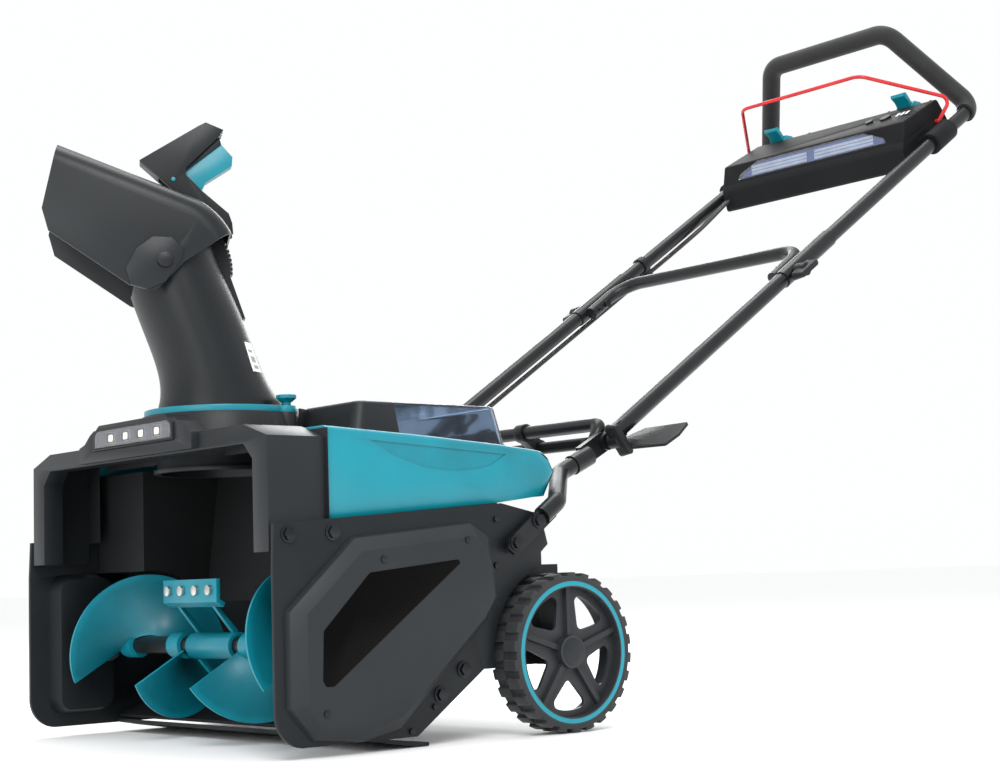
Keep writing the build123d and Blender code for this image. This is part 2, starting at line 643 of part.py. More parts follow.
with BuildPart() as rim_left:
    with BuildSketch(on_wheel(WHEEL_IN + 4)):
        Circle(79.9)
        Circle(75.5, mode=Mode.SUBTRACT)
    extrude(amount=TYRE_W - 8)
    with BuildSketch(on_wheel(WHEEL_OUT - 16)):
        Circle(76)
    extrude(amount=4)
    # five rounded windows between the spokes
    for spoke in range(SPOKES):
        turn = math.radians(90 + 360 / SPOKES * (spoke + 0.5))
        half = math.radians(25)
        far = [(68 * math.cos(turn + a), 68 * math.sin(turn + a)) for a in (-half, 0, half)]
        near = (30 * math.cos(turn), 30 * math.sin(turn))
        with BuildSketch(on_wheel(WHEEL_OUT - 20)):
            with BuildLine():
                ThreePointArc(*far)
                Line(far[2], near)
                Line(near, far[0])
            make_face()
            fillet(vertices(), 7)
        extrude(amount=12, mode=Mode.SUBTRACT)
    # spokes stand proud of the disc
    with BuildSketch(on_wheel(WHEEL_OUT - 13)):
        with PolarLocations(46, SPOKES, start_angle=90):
            Rectangle(62, 8)
    extrude(amount=6, taper=8)
    with BuildSketch(on_wheel(WHEEL_IN + 6)):
        Circle(15)
    extrude(amount=TYRE_W - 14)
    # outer trim ring and hub cap
    with BuildSketch(on_wheel(WHEEL_OUT - 4)):
        Circle(85)
        Circle(75.6, mode=Mode.SUBTRACT)
    extrude(amount=4)
    with BuildSketch(on_wheel(WHEEL_OUT - 12)):
        Circle(19)
    extrude(amount=10)
    rod(at(250, WHEEL_Y, WHEEL_Z), at(299.2, WHEEL_Y, WHEEL_Z), 6 + RUN, mode=Mode.SUBTRACT)

with BuildPart() as tyre_seated:
    add(tyre_left.part)
    with BuildSketch(on_wheel(WHEEL_OUT - 4.1)):
        Circle(85.1)
    extrude(amount=10, mode=Mode.SUBTRACT)

WHEEL_PIECES = {"tyre": tyre_seated, "wheel_rim": rim_left}
for name, piece in WHEEL_PIECES.items():
    save(piece, name + "_left")
    save(mirrored(piece), name + "_right")

# ---------------------------------------------------------------- auger
FLIGHT_IN, FLIGHT_OUT = 62.0, 214.0
FLIGHT_TURNS = 1.0
FLIGHT_T = 3.0
HUB_R = 16.0


def on_auger(x):
    """Side view centred on the auger's axis."""
    return Plane(origin=at(x, AUGER_Y, AUGER_Z), x_dir=(0, 1, 0), z_dir=(1, 0, 0))


with BuildPart() as auger_shaft:
    rod(at(-282, AUGER_Y, AUGER_Z), at(293.5, AUGER_Y, AUGER_Z), 8)
    rod(at(-262, AUGER_Y, AUGER_Z), at(262, AUGER_Y, AUGER_Z), 11)
save(auger_shaft, "auger_shaft")


def flight(x, pitch, turn):
    """One helical flight round the shaft, starting at x and climbing towards +X."""
    centre = at(x, AUGER_Y, AUGER_Z)
    with BuildPart() as screw:
        with BuildLine() as climb:
            rise = pitch * FLIGHT_TURNS
            Helix(pitch=pitch, height=rise, radius=AUGER_R, center=centre, direction=(1, 0, 0))
        outward = (climb.line @ 0) - Vector(*centre)
        with BuildSketch(Plane(origin=climb.line @ 0, x_dir=outward, z_dir=climb.line % 0)) as blade:
            with Locations((-(AUGER_R - HUB_R + 4) / 2, 0)):
                Rectangle(AUGER_R - HUB_R + 4, FLIGHT_T)
        sweep(blade.sketch, path=climb.line, is_frenet=True)
    return screw.part.rotate(Axis(centre, (1, 0, 0)), turn)


FLIGHT_START = 120.0  # where round the shaft a flight begins, in degrees
with BuildPart() as flight_left:
    add(flight(FLIGHT_IN, FLIGHT_OUT - FLIGHT_IN, FLIGHT_START))
    for x in (FLIGHT_IN + 6, FLIGHT_OUT - 30):
        rod(at(x, AUGER_Y, AUGER_Z), at(x + 26, AUGER_Y, AUGER_Z), HUB_R)
    rod(at(0, AUGER_Y, AUGER_Z), at(300, AUGER_Y, AUGER_Z), 11 + RUN, mode=Mode.SUBTRACT)
with BuildPart() as auger_flights:
    add(flight_left.part)
    mirror(flight_left.part, about=Plane.YZ)
save(auger_flights, "auger_flights")

# two throwing paddles across the middle, half a turn apart
PADDLE_X = 60.0
with BuildPart() as paddles:
    for sign in (1, -1):
        blade = [(-28, 46), (-38, 52), (-38, 79), (-33, 79), (-33, 55), (-26, 51)]
        arm = [(-3, 14), (-30, 47), (-27, 50.5), (3, 17)]
        with BuildSketch(on_auger(-PADDLE_X)) as plate:
            outline([(sign * y, sign * z) for y, z in blade])
        extrude(plate.sketch, amount=2 * PADDLE_X)
        for x in (-42, 36):
            with BuildSketch(on_auger(x)) as web:
                outline([(sign * y, sign * z) for y, z in arm])
            extrude(web.sketch, amount=6)
    rod(at(-48, AUGER_Y, AUGER_Z), at(48, AUGER_Y, AUGER_Z), HUB_R)
    rod(at(-60, AUGER_Y, AUGER_Z), at(60, AUGER_Y, AUGER_Z), 11 + RUN, mode=Mode.SUBTRACT)
save(paddles, "paddles")

with BuildPart() as auger_bolts:
    for sign in (1, -1):
        for x in (-46, -16, 16, 46):
            a = at(x, AUGER_Y - sign * 38, AUGER_Z + sign * 66)
            b = at(x, AUGER_Y - sign * 42.5, AUGER_Z + sign * 66)
            rod(a, b, 6)
save(auger_bolts, "auger_bolts")

# ---------------------------------------------------------------- chute
CHUTE_WALL = 3.0
CHUTE_SECTIONS = [(400, 0, 75, 75), (440, -12, 76, 63), (484, -27, 77, 62)]
CHUTE_SECTIONS += [(536, -46, 77, 61), (616, -70, 77, 60)]


def chute_form(inset):
    """The chute's smooth body through its sections, shrunk by a wall thickness."""
    faces = []
    for z, back, half_width, half_depth in CHUTE_SECTIONS:
        with BuildSketch(chute_level(z), mode=Mode.PRIVATE) as section:
            with Locations((0, back)):
                Ellipse(half_width - inset, half_depth - inset)
        faces.append(section.sketch)
    return loft(faces, mode=Mode.PRIVATE)


def chute_rod(x0, x1, back, z, radius, mode=Mode.ADD):
    """A round bar across the chute, from x0 to x1."""
    with BuildSketch(chute_side(x0)) as section:
        with Locations((back, z)):
            Circle(radius)
    extrude(section.sketch, amount=x1 - x0, mode=mode)


CHUTE_MOUTH = [(-140, 533), (-105, 533), (-92, 578), (-66, 591), (-8, 608), (30, 608), (30, 640), (-140, 640)]
with BuildPart() as chute_tube:
    add(chute_form(0))
    with BuildSketch(chute_side(-100)):
        outline(CHUTE_MOUTH)
    extrude(amount=200, mode=Mode.SUBTRACT)
    rod(at(0, CHUTE_Y, 386.4), at(0, CHUTE_Y, 389.5), 86.8)
    rod(at(0, CHUTE_Y, 389), at(0, CHUTE_Y, 400), 75)
    for sign in (-1, 1):
        chute_rod(sign * 70, sign * 79.6, *HOOD_PIVOT, 11)
    # rib up the back that carries the rack
    with BuildSketch(chute_side(-13)):
        outline([(-30, 607), (5, 607), (12, 559), (30, 505), (-30, 505)])
    extrude(amount=26)
    # toothed rack, an arc about the hood's pivot
    with BuildSketch(chute_side(-10)):
        with Locations(HOOD_PIVOT):
            Circle(RACK_R - 3)
            with PolarLocations(RACK_R - 3, RACK_TEETH, start_angle=-2, angular_range=32, rotate=True):
                Rectangle(6, 3.2)
            Circle(RACK_R - 22, mode=Mode.SUBTRACT)
        with Locations((HOOD_PIVOT[0] + 90, HOOD_PIVOT[1] + 19)):
            Rectangle(70, 48, mode=Mode.INTERSECT)
    extrude(amount=20)
    add(chute_form(CHUTE_WALL), mode=Mode.SUBTRACT)
    rod(at(0, CHUTE_Y, 380), at(0, CHUTE_Y, 400), 72, mode=Mode.SUBTRACT)
    chute_rod(-100, 100, *HOOD_PIVOT, 5 + RUN, mode=Mode.SUBTRACT)
save(chute_tube, "chute_tube")

# ---------------------------------------------------------------- deflector hood
HOOD_X, HOOD_WALL = 83.5, 3.0
BACK_A0, BACK_A1 = 25.0, 68.0


HANDLE_TOP = [(-94, 699), (-22, 743), (-14, 747), (7, 738), (3, 731), (-38, 691)]
HANDLE_TOP += [(-40, 683), (-20, 662), (12, 634), (16, 622), (17, 609)]
TRIGGER = [(-58, 681), (-44, 686), (4, 722), (18, 706), (17, 695), (-15, 674), (-21, 662), (8, 634)]
TRIGGER += [(14, 622), (15, 612), (11.5, 612), (8, 620), (-3, 634), (-34, 657), (-50, 668), (-60, 672)]


def on_hood(radius, angle):
    """A point of the hood's side view at a radius and angle about its pivot."""
    turn = math.radians(angle)
    return (HOOD_PIVOT[0] + radius * math.cos(turn), HOOD_PIVOT[1] + radius * math.sin(turn))


def hood_profile(radius, inset):
    """The hood's side view, with its back an arc about the pivot."""
    front = [(-188, 705 - inset), (-206 + inset, 625), (-199, 599), (-107, 535), (-78, 527), (-44, 562)]
    if inset:
        front = [(-188 + inset, 705 - inset), (-206 + inset, 625), (-206 + inset, 500)]
        front += [(-44, 500), (-44, 562)]
    arc = [on_hood(radius, a) for a in (BACK_A0 - (30 if inset else 0), 46, BACK_A1)]
    with BuildLine() as edge:
        Polyline(*front, arc[0])
        ThreePointArc(*arc)
        Line(arc[2], front[0])
    make_face(edge.edges())


def top_lines(piece):
    """The two long straight edges along the top of the hood."""
    long = piece.edges().filter_by(GeomType.LINE).filter_by(lambda e: e.center().Z > 660 and e.length > 100)
    return long.filter_by(lambda e: abs(e.tangent_at(0.5).Z) > 0.1)


with BuildPart() as hood_form:
    with BuildSketch(chute_side(-HOOD_X)):
        hood_profile(HOOD_R + 0.5, 0)
    extrude(amount=2 * HOOD_X)
    fillet(top_lines(hood_form), 24)

with BuildPart() as hood_hollow:
    with BuildSketch(chute_side(-HOOD_X + HOOD_WALL)):
        hood_profile(HOOD_R - 2.5, HOOD_WALL)
    extrude(amount=2 * (HOOD_X - HOOD_WALL))
    fillet(top_lines(hood_hollow), 21)

with BuildPart() as deflector_hood:
    add(hood_form.part)
    add(hood_hollow.part, mode=Mode.SUBTRACT)
    # the mouth at the front is open below the visor
    with BuildSketch(chute_side(-HOOD_X + HOOD_WALL)):
        outline([(-230, 560), (-230, 668), (-196.5, 668), (-190, 600), (-150, 560)])
    extrude(amount=2 * (HOOD_X - HOOD_WALL), mode=Mode.SUBTRACT)
    chute_rod(-100, 100, *HOOD_PIVOT, 5 + RUN, mode=Mode.SUBTRACT)
save(deflector_hood, "deflector_hood")

CAP = [(-74, 592), (-46, 576), (-75, 533), (-101, 538), (-110, 553)]
with BuildPart() as hood_caps:
    for x in (-HOOD_X - 3.5, HOOD_X):
        with BuildSketch(chute_side(x)) as cap:
            outline(CAP)
            fillet(vertices(), 5)
        extrude(cap.sketch, amount=3.5)
    chute_rod(-100, 100, *HOOD_PIVOT, 5 + RUN, mode=Mode.SUBTRACT)
save(hood_caps, "hood_caps")

with BuildPart() as hood_pivots:
    for sign in (-1, 1):
        chute_rod(sign * 72, sign * 90, *HOOD_PIVOT, 5)
        chute_rod(sign * 87.3, sign * 91.5, *HOOD_PIVOT, 9)
save(hood_pivots, "hood_pivots")

TRIGGER_PIN = (-54.0, 676.0)
with BuildPart() as deflector_handle:
    with BuildSketch(chute_side(-17)):
        with BuildLine():
            Polyline(*HANDLE_TOP)
            Line((17, 609), on_hood(HOOD_R + 0.9, 31))
            ThreePointArc(on_hood(HOOD_R + 0.9, 31), on_hood(HOOD_R + 0.9, 48), on_hood(HOOD_R + 0.9, 66))
            Polyline(on_hood(HOOD_R + 0.9, 66), (-60, 668), (-94, 699))
        make_face()
    extrude(amount=34)
    with BuildSketch(chute_side(-9.6)):
        outline([(-80, 668), (-62, 690), (4, 734), (30, 734), (30, 590), (8, 596), (-14, 640), (-40, 652)])
    extrude(amount=19.2, mode=Mode.SUBTRACT)
    add(hood_form.part, mode=Mode.SUBTRACT)
    chute_rod(-12, 12, *TRIGGER_PIN, 2.5)
save(deflector_handle, "deflector_handle")

with BuildPart() as deflector_trigger:
    with BuildSketch(chute_side(-9)):
        outline(TRIGGER)
        fillet(vertices(), 1.2)
    extrude(amount=18)
    chute_rod(-14, 14, *TRIGGER_PIN, 2.5 + RUN, mode=Mode.SUBTRACT)
save(deflector_trigger, "deflector_trigger")

# ---------------------------------------------------------------- handle brackets on the chassis
BAR_X0, BAR_X1 = 286.0, 291.0
with BuildPart() as lower_bar_left:
    foot = [(316, 216), (326, 208), (338, 212), (392, 252), (400, 268), (388, 276), (376, 268), (318, 226)]
    across(BAR_X0, foot, BAR_X1 - BAR_X0)
    route = [at(288.5, 372, 253), at(288.5, 396, 269.5), at(RAIL_X, 470, 309), at(RAIL_X, 520, 331.5)]
    tube(route, [16, 30], RAIL_R)
    rod(at(RAIL_X, 493, 319.4), at(RAIL_X, 522, 332.4), 12.8)
    # flattened tab for the pivot bolt
    fork = [(516, 318), (552, 337), (563, 343), (565, 354), (556, 364), (544, 362), (508, 342)]
    across(RAIL_X - 9, fork, 8.7)
    for y, z in ((328.5, 221.6), (363.7, 247.5)):
        rod(at(PLATE_OUT, y, z), at(BAR_X0 + 1, y, z), 8)
    rod(at(RAIL_X - 20, PIVOT_Y, PIVOT_Z), at(RAIL_X + 20, PIVOT_Y, PIVOT_Z), 4 + RUN, mode=Mode.SUBTRACT)
with BuildPart() as lower_bars:
    add(lower_bar_left.part)
    mirror(lower_bar_left.part, about=Plane.YZ)
save(lower_bars, "lower_bars")

PLATE_BOLTS = [(19, 235), (76, 236.5), (252, 81), (218, 55)]
BAR_BOLTS = [(328.5, 221.6), (363.7, 247.5)]
HEX_R = 7.5


def bolt_head(x, y, z, radius, height):
    """A flanged hexagon head on the side of the machine, standing out from x."""
    outward = 1 if x > 0 else -1
    rod(at(x, y, z), at(x + outward * 1.5, y, z), radius + 2)
    with BuildSketch(side(x)) as head:
        with Locations((y, z)):
            RegularPolygon(radius, 6)
    extrude(head.sketch, amount=outward * height)


with BuildPart() as plate_bolts:
    for sign in (-1, 1):
        for y, z in PLATE_BOLTS:
            bolt_head(sign * PLATE_OUT, y, z, HEX_R, 6)
        for y, z in BAR_BOLTS:
            bolt_head(sign * BAR_X1, y, z, HEX_R, 6)
    for sign in (-1, 1):
        for y, z in ((306.5, 250), (305, 196), (209, 42), (176, 17.5)):
            rod(at(sign * PLATE_OUT, y, z), at(sign * (PLATE_OUT + 2.5), y, z), 3.5)
    for y, z in ((250, 226), (131, 206), (52, 46)):
        rod(at(298, y, z), at(299.6, y, z), 4)
save(plate_bolts, "chassis_fasteners")

# ---------------------------------------------------------------- handle: lower tubes
SLEEVE_S0, SLEEVE_S1 = 438.0, 563.0
TAB_S = 22.0
WALL = 1.3

with BuildPart() as lower_tube_left:
    rod(on_handle(RAIL_X, TAB_S), on_handle(RAIL_X, SLEEVE_S0), RAIL_R)
    rod(on_handle(RAIL_X, SLEEVE_S0 - 4), on_handle(RAIL_X, SLEEVE_S1), 12.8)
    rod(on_handle(RAIL_X, TAB_S + 12), on_handle(RAIL_X, SLEEVE_S0), RAIL_R - WALL, mode=Mode.SUBTRACT)
    rod(on_handle(RAIL_X, SLEEVE_S0), on_handle(RAIL_X, SLEEVE_S1 + 1), RAIL_R + RUN, mode=Mode.SUBTRACT)
    with BuildSketch(handle_side(RAIL_X + 0.3)) as tab:
        with BuildLine() as edge:
            Polyline((34, 11.1), (0, 11.1))
            ThreePointArc((0, 11.1), (-11.1, 0), (0, -11.1))
            Polyline((0, -11.1), (34, -11.1), (34, 11.1))
        make_face()
    extrude(amount=6)
    rod(at(RAIL_X - 20, PIVOT_Y, PIVOT_Z), at(RAIL_X + 20, PIVOT_Y, PIVOT_Z), 4 + RUN, mode=Mode.SUBTRACT)
    for s_bolt in (458, 476):
        rod(on_handle(RAIL_X - 20, s_bolt), on_handle(RAIL_X + 20, s_bolt), 3 + RUN, mode=Mode.SUBTRACT)
with BuildPart() as lower_tubes:
    add(lower_tube_left.part)
    mirror(lower_tube_left.part, about=Plane.YZ)
save(lower_tubes, "lower_tubes")

LOOP_CORNER_N = 4.0
LOOP_TOP_N = 160.0
LOOP_TOP_X = 121.5
LOOP = [
    on_handle(RAIL_X, SLEEVE_S0 + 4),
    on_handle(RAIL_X, GRIP_S + 3, 0),
    on_handle(LOOP_TOP_X, GRIP_S - 3, LOOP_TOP_N),
    on_handle(-LOOP_TOP_X, GRIP_S - 3, LOOP_TOP_N),
    on_handle(-RAIL_X, GRIP_S + 3, 0),
    on_handle(-RAIL_X, SLEEVE_S0 + 4),
]
LOOP_RADII = [24, 36, 36, 24]

with BuildPart() as handle_loop:
    tube(LOOP, LOOP_RADII, RAIL_R, RAIL_R - WALL)
    for sign in (-1, 1):
        for s_bolt in (458, 476):
            inner, outer = on_handle(sign * (RAIL_X - 20), s_bolt), on_handle(sign * (RAIL_X + 20), s_bolt)
            rod(inner, outer, 3 + RUN, mode=Mode.SUBTRACT)
save(handle_loop, "handle_loop")

with BuildPart() as foam_grip:
    tube(LOOP, LOOP_RADII, GRIP_R, RAIL_R + RUN)
    # the foam covers the loop only
    with BuildSketch(handle_side(-300)):
        with Locations((500, 0)):
            Rectangle(1000, 500)
        with Locations((GRIP_S + 20, 110)):
            Rectangle(80, 191, mode=Mode.SUBTRACT)
    extrude(amount=600, mode=Mode.SUBTRACT)
save(foam_grip, "foam_grip")

MID_S = 533.0
with BuildPart() as mid_cross_tube:
    bar = [on_handle(-190, 445, 0), on_handle(-190, MID_S, 2)]
    bar += [on_handle(190, MID_S, 2), on_handle(190, 445, 0)]
    tube(bar, [42, 42], 10)
    for sign in (-1, 1):
        for s_bolt in (458, 476):
            rod(on_handle(sign * 170, s_bolt), on_handle(sign * 215, s_bolt), 3 + RUN, mode=Mode.SUBTRACT)
save(mid_cross_tube, "mid_cross_tube")

LOW_S, LOW_N = 26.0, 13.0
TOOL_S, TOOL_N = 36.0, -18.0
with BuildPart() as low_cross_tube:
    bar = [on_handle(-192, -4, -2), on_handle(-192, LOW_S, LOW_N)]
    bar += [on_handle(192, LOW_S, LOW_N), on_handle(192, -4, -2)]
    tube(bar, [12, 12], 9)
    rod(at(-240, PIVOT_Y, PIVOT_Z), at(240, PIVOT_Y, PIVOT_Z), 4 + RUN, mode=Mode.SUBTRACT)
save(low_cross_tube, "low_cross_tube")

PIVOT_BOLT_R, JOINT_BOLT_R = 4.0, 3.0
with BuildPart() as handle_bolts:
    for sign in (-1, 1):
        rod(at(sign * 178, PIVOT_Y, PIVOT_Z), at(sign * 236, PIVOT_Y, PIVOT_Z), PIVOT_BOLT_R)
        rod(at(sign * 176, PIVOT_Y, PIVOT_Z), at(sign * 182.7, PIVOT_Y, PIVOT_Z), 8)
        for s_bolt in (458, 476):
            rod(on_handle(sign * 176, s_bolt), on_handle(sign * 232, s_bolt), JOINT_BOLT_R)
        rod(on_handle(sign * 176, 476), on_handle(sign * 179.7, 476), 6)
        rod(on_handle(sign * 226.8, 476), on_handle(sign * 231.5, 476), 5)
save(handle_bolts, "handle_bolts")


def wing_knob(centre, axis, bore_radius, name):
    """A clamping knob: a ribbed boss with two wings, turning on a bolt that leaves centre along axis."""
    along = Vector(*axis)
    base = Plane(origin=centre, x_dir=(0, math.cos(TILT), math.sin(TILT)), z_dir=along)
    with BuildPart() as knob:
        with BuildSketch(base) as boss:
            Circle(10.5)
        extrude(boss.sketch, amount=16, taper=4)
        with BuildSketch(base.offset(5.2)) as wings:
            SlotOverall(48, 13)
        extrude(wings.sketch, amount=17, taper=8)
        with BuildSketch(base) as bore:
            Circle(bore_radius)
        extrude(bore.sketch, amount=12, mode=Mode.SUBTRACT)
    save(knob, name)


wing_knob(at(226.6, PIVOT_Y, PIVOT_Z), (1, 0, 0), PIVOT_BOLT_R + RUN, "pivot_knob_left")
wing_knob(at(-226.6, PIVOT_Y, PIVOT_Z), (-1, 0, 0), PIVOT_BOLT_R + RUN, "pivot_knob_right")
wing_knob(on_handle(226.9, 458), (1, 0, 0), JOINT_BOLT_R + RUN, "joint_knob_left")
wing_knob(on_handle(-226.9, 458), (-1, 0, 0), JOINT_BOLT_R + RUN, "joint_knob_right")

# ---------------------------------------------------------------- console
CONSOLE_X = 190.0
CONSOLE = [(1246, 829), (1254, 875), (1345, 925), (1372, 895), (1290, 812), (1256, 796)]
CONSOLE_IN = [(1249.5, 830), (1257, 873), (1344, 921), (1367.8, 895), (1288.5, 815), (1258, 800.5)]
SPLIT = [(1230, 841), (1251, 841), (1362, 908), (1400, 930)]  # where the two halves meet

with BuildPart() as console_shell:
    across(-CONSOLE_X, CONSOLE, 2 * CONSOLE_X)
    fillet(console_shell.edges().filter_by(Axis.X), 5)
    fillet(console_shell.faces().filter_by(Axis.X).edges(), 3)
    across(-CONSOLE_X + 4, CONSOLE_IN, 2 * CONSOLE_X - 8, mode=Mode.SUBTRACT)

BAIL_PIVOT = (1338.0, 887.0)
LEVER_PIN = (989.5, 34.0)  # s and n of the levers' axis
LEVER_X = 126.0
with BuildPart() as console_lower:
    add(console_shell.part)
    across(-250, SPLIT + [(1400, 1000), (1230, 1000)], 500, mode=Mode.SUBTRACT)
    for sign in (-1, 1):
        # clamp round each handle tube, with an arm to the console
        rod(on_handle(sign * RAIL_X, 882), on_handle(sign * RAIL_X, 938), 17.5)
        with BuildSketch(handle_side(sign * (RAIL_X - 8) - 18)):
            with Locations((910, -2)):
                Rectangle(44, 22)
        extrude(amount=26)
        rod(on_handle(sign * RAIL_X, 870), on_handle(sign * RAIL_X, 950), RAIL_R + RUN, mode=Mode.SUBTRACT)
        rod(at(sign * 150, *BAIL_PIVOT), at(sign * 200, *BAIL_PIVOT), 3 + RUN, mode=Mode.SUBTRACT)
    across(-CONSOLE_X + 4, CONSOLE_IN, 2 * CONSOLE_X - 8, mode=Mode.SUBTRACT)
save(console_lower, "console_lower")

BUTTONS = {"power_button": (120, 9.0), "light_button": (88, 6.5)}
BUTTON_S = 928.0
with BuildPart() as console_upper:
    add(console_shell.part)
    lower = [(y, z + 0.15) for y, z in SPLIT] + [(1400, 700), (1230, 700)]
    across(-250, lower, 500, mode=Mode.SUBTRACT)
    # lugs and pins for the two levers
    for sign in (-1, 1):
        for x in (LEVER_X - 41.5, LEVER_X + 41.5):
            with BuildSketch(handle_side(sign * x - 1.5)):
                with Locations((984, 33)):
                    Rectangle(18, 9)
            extrude(amount=3)
        rod(on_handle(sign * (LEVER_X - 42), *LEVER_PIN), on_handle(sign * (LEVER_X + 42), *LEVER_PIN), 2)
    across(-CONSOLE_X + 4, CONSOLE_IN, 2 * CONSOLE_X - 8, mode=Mode.SUBTRACT)
    for x, radius in BUTTONS.values():
        rod(on_handle(x, BUTTON_S, 20), on_handle(x, BUTTON_S, 60), radius + AIR, mode=Mode.SUBTRACT)
    # recess for the light strip
    with BuildSketch(facing(1262)):
        outline([(-156, 846.3), (-152, 856), (-112, 872), (112, 872), (152, 856), (156, 846.3)])
    extrude(amount=20, mode=Mode.SUBTRACT)
save(console_upper, "console_upper")

with BuildPart() as console_lens:
    with BuildSketch(facing(1256)):
        left = [(-155.5, 846.8), (-151.5, 855.6), (-111.8, 871.5)]
        outline(left + [(111.8, 871.5), (151.5, 855.6), (155.5, 846.8)])
    extrude(amount=5.5)
save(console_lens, "console_lens")

for name, (x, radius) in BUTTONS.items():
    with BuildPart() as button:
        rod(on_handle(x, BUTTON_S, 34), on_handle(x, BUTTON_S, 48.5), radius)
        rod(on_handle(x, BUTTON_S, 34), on_handle(x, BUTTON_S, 36), radius + 3)
    save(button, name)

# red hand bail over the console
BAIL_R = 3.0
BAIL = [
    at(181, *BAIL_PIVOT),
    at(196, *BAIL_PIVOT),
    at(214, 1348, 921),
    at(124, 1232, 960),
    at(-124, 1232, 960),
    at(-214, 1348, 921),
    at(-196, *BAIL_PIVOT),
    at(-181, *BAIL_PIVOT),
]
with BuildPart() as safety_bail:
    tube(BAIL, [4, 12, 26, 26, 12, 4], BAIL_R)
save(safety_bail, "safety_bail")

for sign, name in ((1, "lever_left"), (-1, "lever_right")):
    with BuildPart() as lever:
        with BuildSketch(handle_side(sign * LEVER_X - 38)):
            tab = [(985.5, 30), (985.5, 39), (996, 43), (1010, 34), (1014, 20)]
            outline(tab + [(1009, 19), (1003, 28), (993, 30)])
            fillet(vertices(), 1.5)
        extrude(amount=76)
        rod(on_handle(sign * 60, *LEVER_PIN), on_handle(sign * 180, *LEVER_PIN), 2 + RUN, mode=Mode.SUBTRACT)
    save(lever, name)

# ---------------------------------------------------------------- clean-out tool and clips
TOOL_X0, TOOL_X1 = -140.0, 205.0
with BuildPart() as cleanout_tool:
    rod(on_handle(TOOL_X0, TOOL_S, TOOL_N), on_handle(TOOL_X1, TOOL_S, TOOL_N), 8)
    # flat scraper blade, wider towards its end
    square_on = (0, -math.sin(TILT), math.cos(TILT))
    with BuildSketch(Plane(origin=on_handle(196, TOOL_S, TOOL_N - 6.5), x_dir=(1, 0, 0), z_dir=square_on)):
        outline([(0, -9), (24, -18), (98, -19), (104, 4), (98, 33), (24, 30), (0, 9)])
        fillet(vertices(), 3)
    extrude(amount=3.5)
    rod(on_handle(TOOL_X0 - 4, TOOL_S, TOOL_N), on_handle(TOOL_X0 + 60, TOOL_S, TOOL_N), 9.5)
save(cleanout_tool, "cleanout_tool")

CABLE_R = 2.6
CABLE_N = -18.5
CABLE_CLIPS = (118, 610)
CLIP_X = 40.0
GAP_S, GAP_N = TOOL_S - LOW_S, TOOL_N - LOW_N
with BuildPart() as handle_clips:
    for x in (-CLIP_X - 7, CLIP_X - 7):
        with BuildSketch(handle_side(x)):
            with Locations((LOW_S, LOW_N)):
                Circle(12.5)
            with Locations((TOOL_S, TOOL_N)):
                Circle(12)
            web = [(LOW_S - 9, LOW_N - 6), (LOW_S + 9, LOW_N - 2)]
            outline(web + [(TOOL_S + 9, TOOL_N + 4), (TOOL_S - 9, TOOL_N)])
            with Locations((LOW_S, LOW_N)):
                Circle(9 + RUN, mode=Mode.SUBTRACT)
            with Locations((TOOL_S, TOOL_N)):
                Circle(8.5, mode=Mode.SUBTRACT)
            gap = [(TOOL_S - 8.6, TOOL_N), (TOOL_S + 8.6, TOOL_N + 4)]
            gap += [(TOOL_S + 18, TOOL_N - 20), (TOOL_S - 8, TOOL_N - 24)]
            with BuildLine(mode=Mode.PRIVATE) as opening:
                Polyline(*gap, close=True)
            make_face(opening.edges(), mode=Mode.SUBTRACT)
        extrude(amount=14)
    for s_clip in CABLE_CLIPS:
        with BuildSketch(handle_face(s_clip)):
            with Locations((RAIL_X, 0)):
                Circle(14)
            with Locations((RAIL_X, CABLE_N + 3)):
                RectangleRounded(19, 17, 4)
            with Locations((RAIL_X, CABLE_N)):
                RectangleRounded(12.8, 6.4, 3, mode=Mode.SUBTRACT)
            with Locations((RAIL_X, 0)):
                Circle(RAIL_R + RUN, mode=Mode.SUBTRACT)
        extrude(amount=12)
save(handle_clips, "handle_clips")


def bends(points):
    """The largest easy bend radius at each inner point of a route."""
    radii = []
    for before, here, after in zip(points, points[1:], points[2:]):
        into, out = Vector(*here) - Vector(*before), Vector(*after) - Vector(*here)
        turn = math.radians(into.get_angle(out))
        radii.append(min(0.45 * min(into.length, out.length) / math.tan(turn / 2), 400))
    return radii


with BuildPart() as control_cables:
    for shift in (-3.1, 3.1):
        route = [
            on_handle(-180 + shift, 836, 2),
            on_handle(-181 + shift, 806, -1),
            on_handle(-196 + shift, 764, -11),
            on_handle(-RAIL_X + shift, 700, CABLE_N),
            on_handle(-RAIL_X + shift, 110, CABLE_N),
            on_handle(-203 + shift, 62, CABLE_N + 1),
            on_handle(-176 + shift, 14, -16),
            at(-164 + shift, 505, 326),
            at(-163 + shift, 462, 320),
            at(-163 + shift, 421, 321),
        ]
        tube(route, bends(route), CABLE_R)
save(control_cables, "control_cables")
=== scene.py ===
"""The snow blower's looks: materials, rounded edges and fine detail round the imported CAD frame. Metres."""
import json
import math

